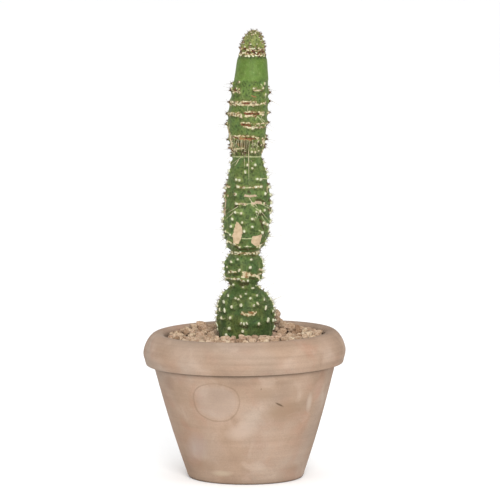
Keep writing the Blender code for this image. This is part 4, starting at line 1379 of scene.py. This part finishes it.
def add_tuft(spot, facing, wide, tall, slant, tone, core=0, thick=0.5):
    """A pad of wool on the skin, as wide and tall as given, turned by its slant."""
    small, tone_layer = new_part()
    bmesh.ops.create_uvsphere(small, u_segments=8, v_segments=5, radius=1.0)
    up, side = along_skin(facing)
    tilt = Matrix.Rotation(slant, 3, facing)
    axes = Matrix((tilt @ side, tilt @ up, facing)).transposed()
    size = Vector((wide / 2, tall / 2, thick * min(wide, tall)))
    for vertex in small.verts:
        vertex[tone_layer] = tone + draw.uniform(-0.08, 0.08)
        if core and vertex.co.z > 0.7:
            vertex[tone_layer] = 1.0 if vertex.co.z > 0.99 else 0.5
        lumpy = vertex.co * (1 + draw.uniform(-0.18, 0.18))
        vertex.co = spot + axes @ (lumpy * size)
    pour(small, wool)


for turn, place, wide, tall, slant, core, size in areoles:
    spot, facing = on_skin(turn, place)
    tone = draw.uniform(0.12, 0.38) if place > TAN_WOOL_FROM else draw.uniform(0.0, 0.2)
    if core == 2 or (core and place > RING[0]):
        tone = draw.uniform(0.7, 1.0)
    grow = draw.uniform(0.86, 1.08)
    add_tuft(spot, facing, wide * grow, tall * grow, slant, tone, core)
    if core and place > RING[2]:
        # On the young tip cream wool still shows beside the brown spine bases.
        spot, facing = on_skin(turn + draw.uniform(-0.1, 0.1), place - 0.0009)
        add_tuft(spot, facing, wide, 0.0008, slant, draw.uniform(0.05, 0.3), 0, 0.4)
# A ring of dead areoles under the young tip, all round, with brown ones among them.
for number in range(3 * RING_COUNT):
    row = number % 3
    turn = 2 * math.pi * number / (3 * RING_COUNT) + draw.uniform(-0.05, 0.05)
    spot, facing = on_skin(turn, RING[row] + draw.uniform(-0.0005, 0.0005))
    wide = draw.uniform(0.0014, 0.0024)
    tall = wide * draw.uniform(0.5, 0.8)
    brown = draw.random() < (0.4, 0.85, 0.75)[row]
    tone = draw.uniform(0.7, 1.0) if brown else draw.uniform(0.08, 0.4)
    add_tuft(spot, facing, wide, tall, draw.uniform(-0.6, 0.6), tone, 0, 0.3)
# Loops of wool in the neck between the bead and the spindle.
for number in range(NECK_TUFTS):
    turn = 2 * math.pi * number / NECK_TUFTS + draw.uniform(-0.1, 0.1)
    spot, facing = on_skin(turn, NECK + draw.uniform(-0.0009, 0.0009))
    wide, slant = draw.uniform(0.0018, 0.0028), draw.uniform(-0.4, 0.4)
    add_tuft(spot, facing, wide, 0.0011, slant, draw.uniform(0.05, 0.35))
# Pinkish tan wool closes the crown.
for number in range(CROWN_TUFTS):
    down = 0.0032 * (number + 0.5) / CROWN_TUFTS
    spot, facing = on_skin(wrapped(number * GOLDEN_ANGLE), CROWN_TOP - down)
    add_tuft(spot, facing, 0.0016, 0.0012, draw.uniform(-1, 1), draw.uniform(0.3, 0.55), 0, 0.4)
print(len(wool.verts), "points of wool")

# %% Wool finish
# Felted plant wool: short hairs in every direction, so it is matt with a soft edge.
LOOKS = {"Roughness": 1.0, "Specular IOR Level": 0.1}
felt, add, shader, place = new_material("areole_wool_felted", LOOKS)
WOOL_TONES = (
    (0.0, "#BDBFA7"), (0.2, "#BAB599"), (0.4, "#AD9E81"), (0.6, "#816C59"), (0.8, "#574436"),
    (1.0, "#31251C"),
)
colour = add("ValToRGB", {0: add("Attribute", out="Fac", attribute_name="tone")}, WOOL_TONES)
# Hairs lie together in strands of 0.4 mm.
hairs = add("TexNoise", {"Vector": place, "Scale": 2600.0, "Detail": 3.0})
colour = stained(add, colour, hairs, 0.55, ((0.32, "#A19A7C"), (0.52, "#FFFFFF")))
bump = add("Bump", {"Strength": 0.6, "Distance": 0.0002, "Height": hairs})
fill(shader, {"Base Color": colour, "Normal": bump})
finish_piece(wool, "areole_wool", felt, "stem", sharp=180)

# %% [markdown]
# ## Spines
#
# The spines are horn, thin and weak: a star of short ones from every areole, darker at
# the root, a few stubs in the middle of the older ones, and some long pale bristles
# that catch the light. A short spine is a three-sided cone, which is plenty for a
# fifth of a millimetre. A long bristle is drawn out in steps so that it can bend.

# %% Spines
SPINE_SEED = 11
SPINE_CEILING = cad_high.z - 0.0002
CROWN_SPINES = 46
BROWN_SPINES_FROM = 0.13
draw = random.Random(SPINE_SEED)
spines, _ = new_part()


def standing(place, way):
    """The matrix that sets what is made along Z at a place, pointing this way."""
    return Matrix.Translation(place) @ way.to_track_quat("Z", "Y").to_matrix().to_4x4()


def add_spine(small, root, way, length, thick, root_tone, tip_tone):
    """A straight spine: a thin cone whose root is sunk in the wool."""
    tone_layer = small.verts.layers.float["tone"]
    middle = root + way * (length / 2 - 0.0003)
    made = bmesh.ops.create_cone(
        small,
        cap_ends=True,
        segments=3,
        radius1=thick,
        radius2=thick * 0.12,
        depth=length,
        matrix=standing(middle, way),
    )["verts"]
    for vertex in made:
        at_tip = (vertex.co - middle).dot(way) > 0
        vertex[tone_layer] = tip_tone if at_tip else root_tone
        vertex.co.z = min(vertex.co.z, SPINE_CEILING)


def spread(facing, most):
    """A random way out of the skin, up to this far from straight."""
    up, side = along_skin(facing)
    way = facing + up * draw.uniform(-most, most) + side * draw.uniform(-most, most)
    return way.normalized()


for turn, place, wide, tall, slant, core, size in areoles:
    spot, facing = on_skin(turn, place)
    up, side = along_skin(facing)
    root = spot + facing * 0.0004
    start = draw.uniform(0, 2 * math.pi)
    count = draw.randint(5, 7) if size > 0.7 else draw.randint(3, 5)
    # Spines of the young upper part are browner.
    brown = 0.45 if place > BROWN_SPINES_FROM else 0.25
    small, _ = new_part()
    for number in range(count):
        way_round = start + 2 * math.pi * (number + draw.uniform(-0.25, 0.25)) / count
        flat = side * math.cos(way_round) + up * math.sin(way_round)
        way = (flat + facing * draw.uniform(0.35, 1.1)).normalized()
        length = draw.uniform(0.0022, 0.0042) * (0.6 + 0.4 * size)
        length *= 0.6 if place > RING[0] else 1.0
        root_tone = draw.uniform(0.2, 0.5) - brown / 2
        add_spine(small, root, way, length, 0.00009, root_tone, draw.uniform(0.7, 1.0) - brown)
    if draw.random() < 0.4 and size > 0.7:
        length = draw.uniform(0.005, 0.009)
        add_spine(small, root, spread(facing, 0.6), length, 0.0001, 0.4, 0.95 - brown)
    for _ in range(4 * core):
        length, thick = draw.uniform(0.0010, 0.0016), 0.00024 * (0.5 + 0.5 * size)
        add_spine(small, root, spread(facing, 0.7), length, thick, 0.0, 0.1)
    pour(small, spines)
# The crown: a brush of young tan spines that stands up from the tip.
small, _ = new_part()
for number in range(CROWN_SPINES):
    down = 0.0068 * (number + 0.5) / CROWN_SPINES
    root, facing = on_skin(wrapped(number * GOLDEN_ANGLE), CROWN_TOP - down)
    way = (spread(facing, 0.4) + Vector((0, 0, 1.1))).normalized()
    add_spine(small, root, way, draw.uniform(0.0014, 0.0026), 0.00011, 0.6, 0.85)
pour(small, spines)
print(len(spines.verts) // 6, "short spines")

# %% Long bristles
# Seen from the front: root and tip as (across, up) in mm, how far the tip stands out
# towards the viewer from the skin, and half the bristle's thickness, in mm.
LONG_BRISTLES = (
    ((16.4, 143.1), (22.0, 138.3), 0.0, 0.14), ((16.9, 143.4), (21.3, 140.1), 2.0, 0.12),
    ((18.5, 30.1), (26.1, 38.5), 0.0, 0.14), ((19.3, 22.8), (31.6, 28.8), 0.0, 0.14),
    ((19.4, 21.1), (28.2, 14.9), 2.0, 0.13), ((2.9, 127.2), (2.9, 105.6), 2.0, 0.36),
    ((-2.6, 122.0), (-9.1, 116.1), 1.6, 0.24), ((-4.3, 120.2), (-5.9, 115.8), 1.6, 0.26),
    ((-0.1, 121.2), (0.2, 114.4), 1.4, 0.24), ((4.4, 120.2), (5.4, 118.2), 1.4, 0.13),
    ((7.1, 90.0), (15.8, 76.6), 2.6, 0.30), ((13.0, 90.4), (18.2, 87.0), 2.4, 0.24),
    ((-4.4, 88.1), (-10.9, 83.5), 2.2, 0.24), ((-7.7, 84.0), (-11.9, 78.9), 2.2, 0.22),
    ((9.8, 84.9), (7.5, 79.3), 2.0, 0.22), ((3.3, 93.9), (6.9, 87.9), 2.0, 0.22),
    ((11.9, 107.5), (15.8, 107.2), 1.5, 0.12),
)
FAN_BRISTLES = 17
BACK_BRISTLES = 40


def add_bristle(root, tip, bow, thick, tone, steps=6):
    """A long bristle from root to tip that bows sideways by the given vector."""
    small, tone_layer = new_part()
    made = bmesh.ops.create_circle(
        small, cap_ends=True, segments=3, radius=thick, matrix=standing(root, (tip - root).normalized())
    )["verts"]
    face = made[0].link_faces[0]
    place = root
    for step in range(1, steps + 1):
        share = step / steps
        goal = root.lerp(tip, share) + bow * (4 * share * (1 - share))
        grown = bmesh.ops.extrude_face_region(small, geom=[face])["geom"]
        face = next(part for part in grown if isinstance(part, bmesh.types.BMFace))
        thinner = (1 - 0.85 * share) / (1 - 0.85 * (share - 1 / steps))
        for vertex in face.verts:
            vertex.co = goal + (vertex.co - place) * thinner
        place = goal
    for vertex in small.verts:
        vertex[tone_layer] = tone
    pour(small, spines)


for start, end, out, half in LONG_BRISTLES:
    root, _ = on_skin(*seen(*start))
    if out:
        spot, facing = on_skin(*seen(*end))
        tip = spot + facing * out * MM
    else:
        # The tip is seen beside the plant, so it lies about as far back as the root.
        depth = root.y - 0.003
        lifted = GRAVEL_TOP + end[1] * MM - depth * fall(end[1] * MM)
        tip = Vector((end[0] * MM, depth, lifted))
    add_bristle(root, tip, Vector((0, -0.0006, 0)), half * MM, 1.0)
# A fan of weak ones hangs from the split above the neck.
for number in range(FAN_BRISTLES):
    across = -6.5 + 15.5 * number / (FAN_BRISTLES - 1) + draw.uniform(-0.5, 0.5)
    root, facing = on_skin(*seen(across, 134.2 + draw.uniform(-0.4, 0.6)))
    end = (across * 1.1 - 0.6 + draw.uniform(-1.4, 1.2), draw.uniform(124.0, 128.5))
    spot, facing = on_skin(*seen(*end))
    half = draw.uniform(0.00014, 0.00022)
    add_bristle(root, spot + facing * 0.0009, Vector((0, -0.0005, 0)), half, 0.9)
# Bristles round the sides and back by rule, so that the plant is as spiny from behind.
for _ in range(BACK_BRISTLES):
    turn = draw.uniform(math.radians(66), math.radians(294))
    low, high = draw.choice(((0.008, 0.03), (0.04, 0.052), (0.062, 0.17)))
    root, facing = on_skin(turn, draw.uniform(low, high))
    tip = root + spread(facing, 0.8) * draw.uniform(0.009, 0.016)
    add_bristle(root, tip, Vector((0, 0, draw.uniform(-0.0008, 0.0008))), 0.00011, 0.9)
print(len(spines.verts), "points of spines in all")

# %% Spine finish
# Horn, as hair and claws are: dark brown at the root, straw-coloured where it is thin.
horn, add, shader, place = new_material("spine_horn", {"Roughness": 0.45, "IOR": 1.55})
HORN_TONES = ((0.0, "#2D1F0C"), (0.25, "#4C371E"), (0.5, "#746A53"), (0.8, "#9C967C"), (1.0, "#B6AD8F"))
colour = add("ValToRGB", {0: add("Attribute", out="Fac", attribute_name="tone")}, HORN_TONES)
# Brown stains, 1.7 mm long.
stain = add("TexNoise", {"Vector": place, "Scale": 600.0, "Detail": 2.0})
colour = stained(add, colour, stain, 0.6, ((0.35, "#CDBB9A"), (0.6, "#FFFFFF")))
fill(shader, {"Base Color": colour})
bmesh.ops.recalc_face_normals(spines, faces=spines.faces)
finish_piece(spines, "spines", horn, "stem", sharp=60)

# %% [markdown]
# ## Sizes
#
# The dressed plant's box is measured beside the CAD model's box. The dressed plant
# has to stay inside the CAD model's box. Both are kept in one table, and the visual
# one is printed.

# %% Sizes
low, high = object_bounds()
sizes = {"cad": [list(cad_low), list(cad_high)], "visual": [list(low), list(high)]}
print("visual box in mm:", [round(1000 * side, 1) for side in high - low])
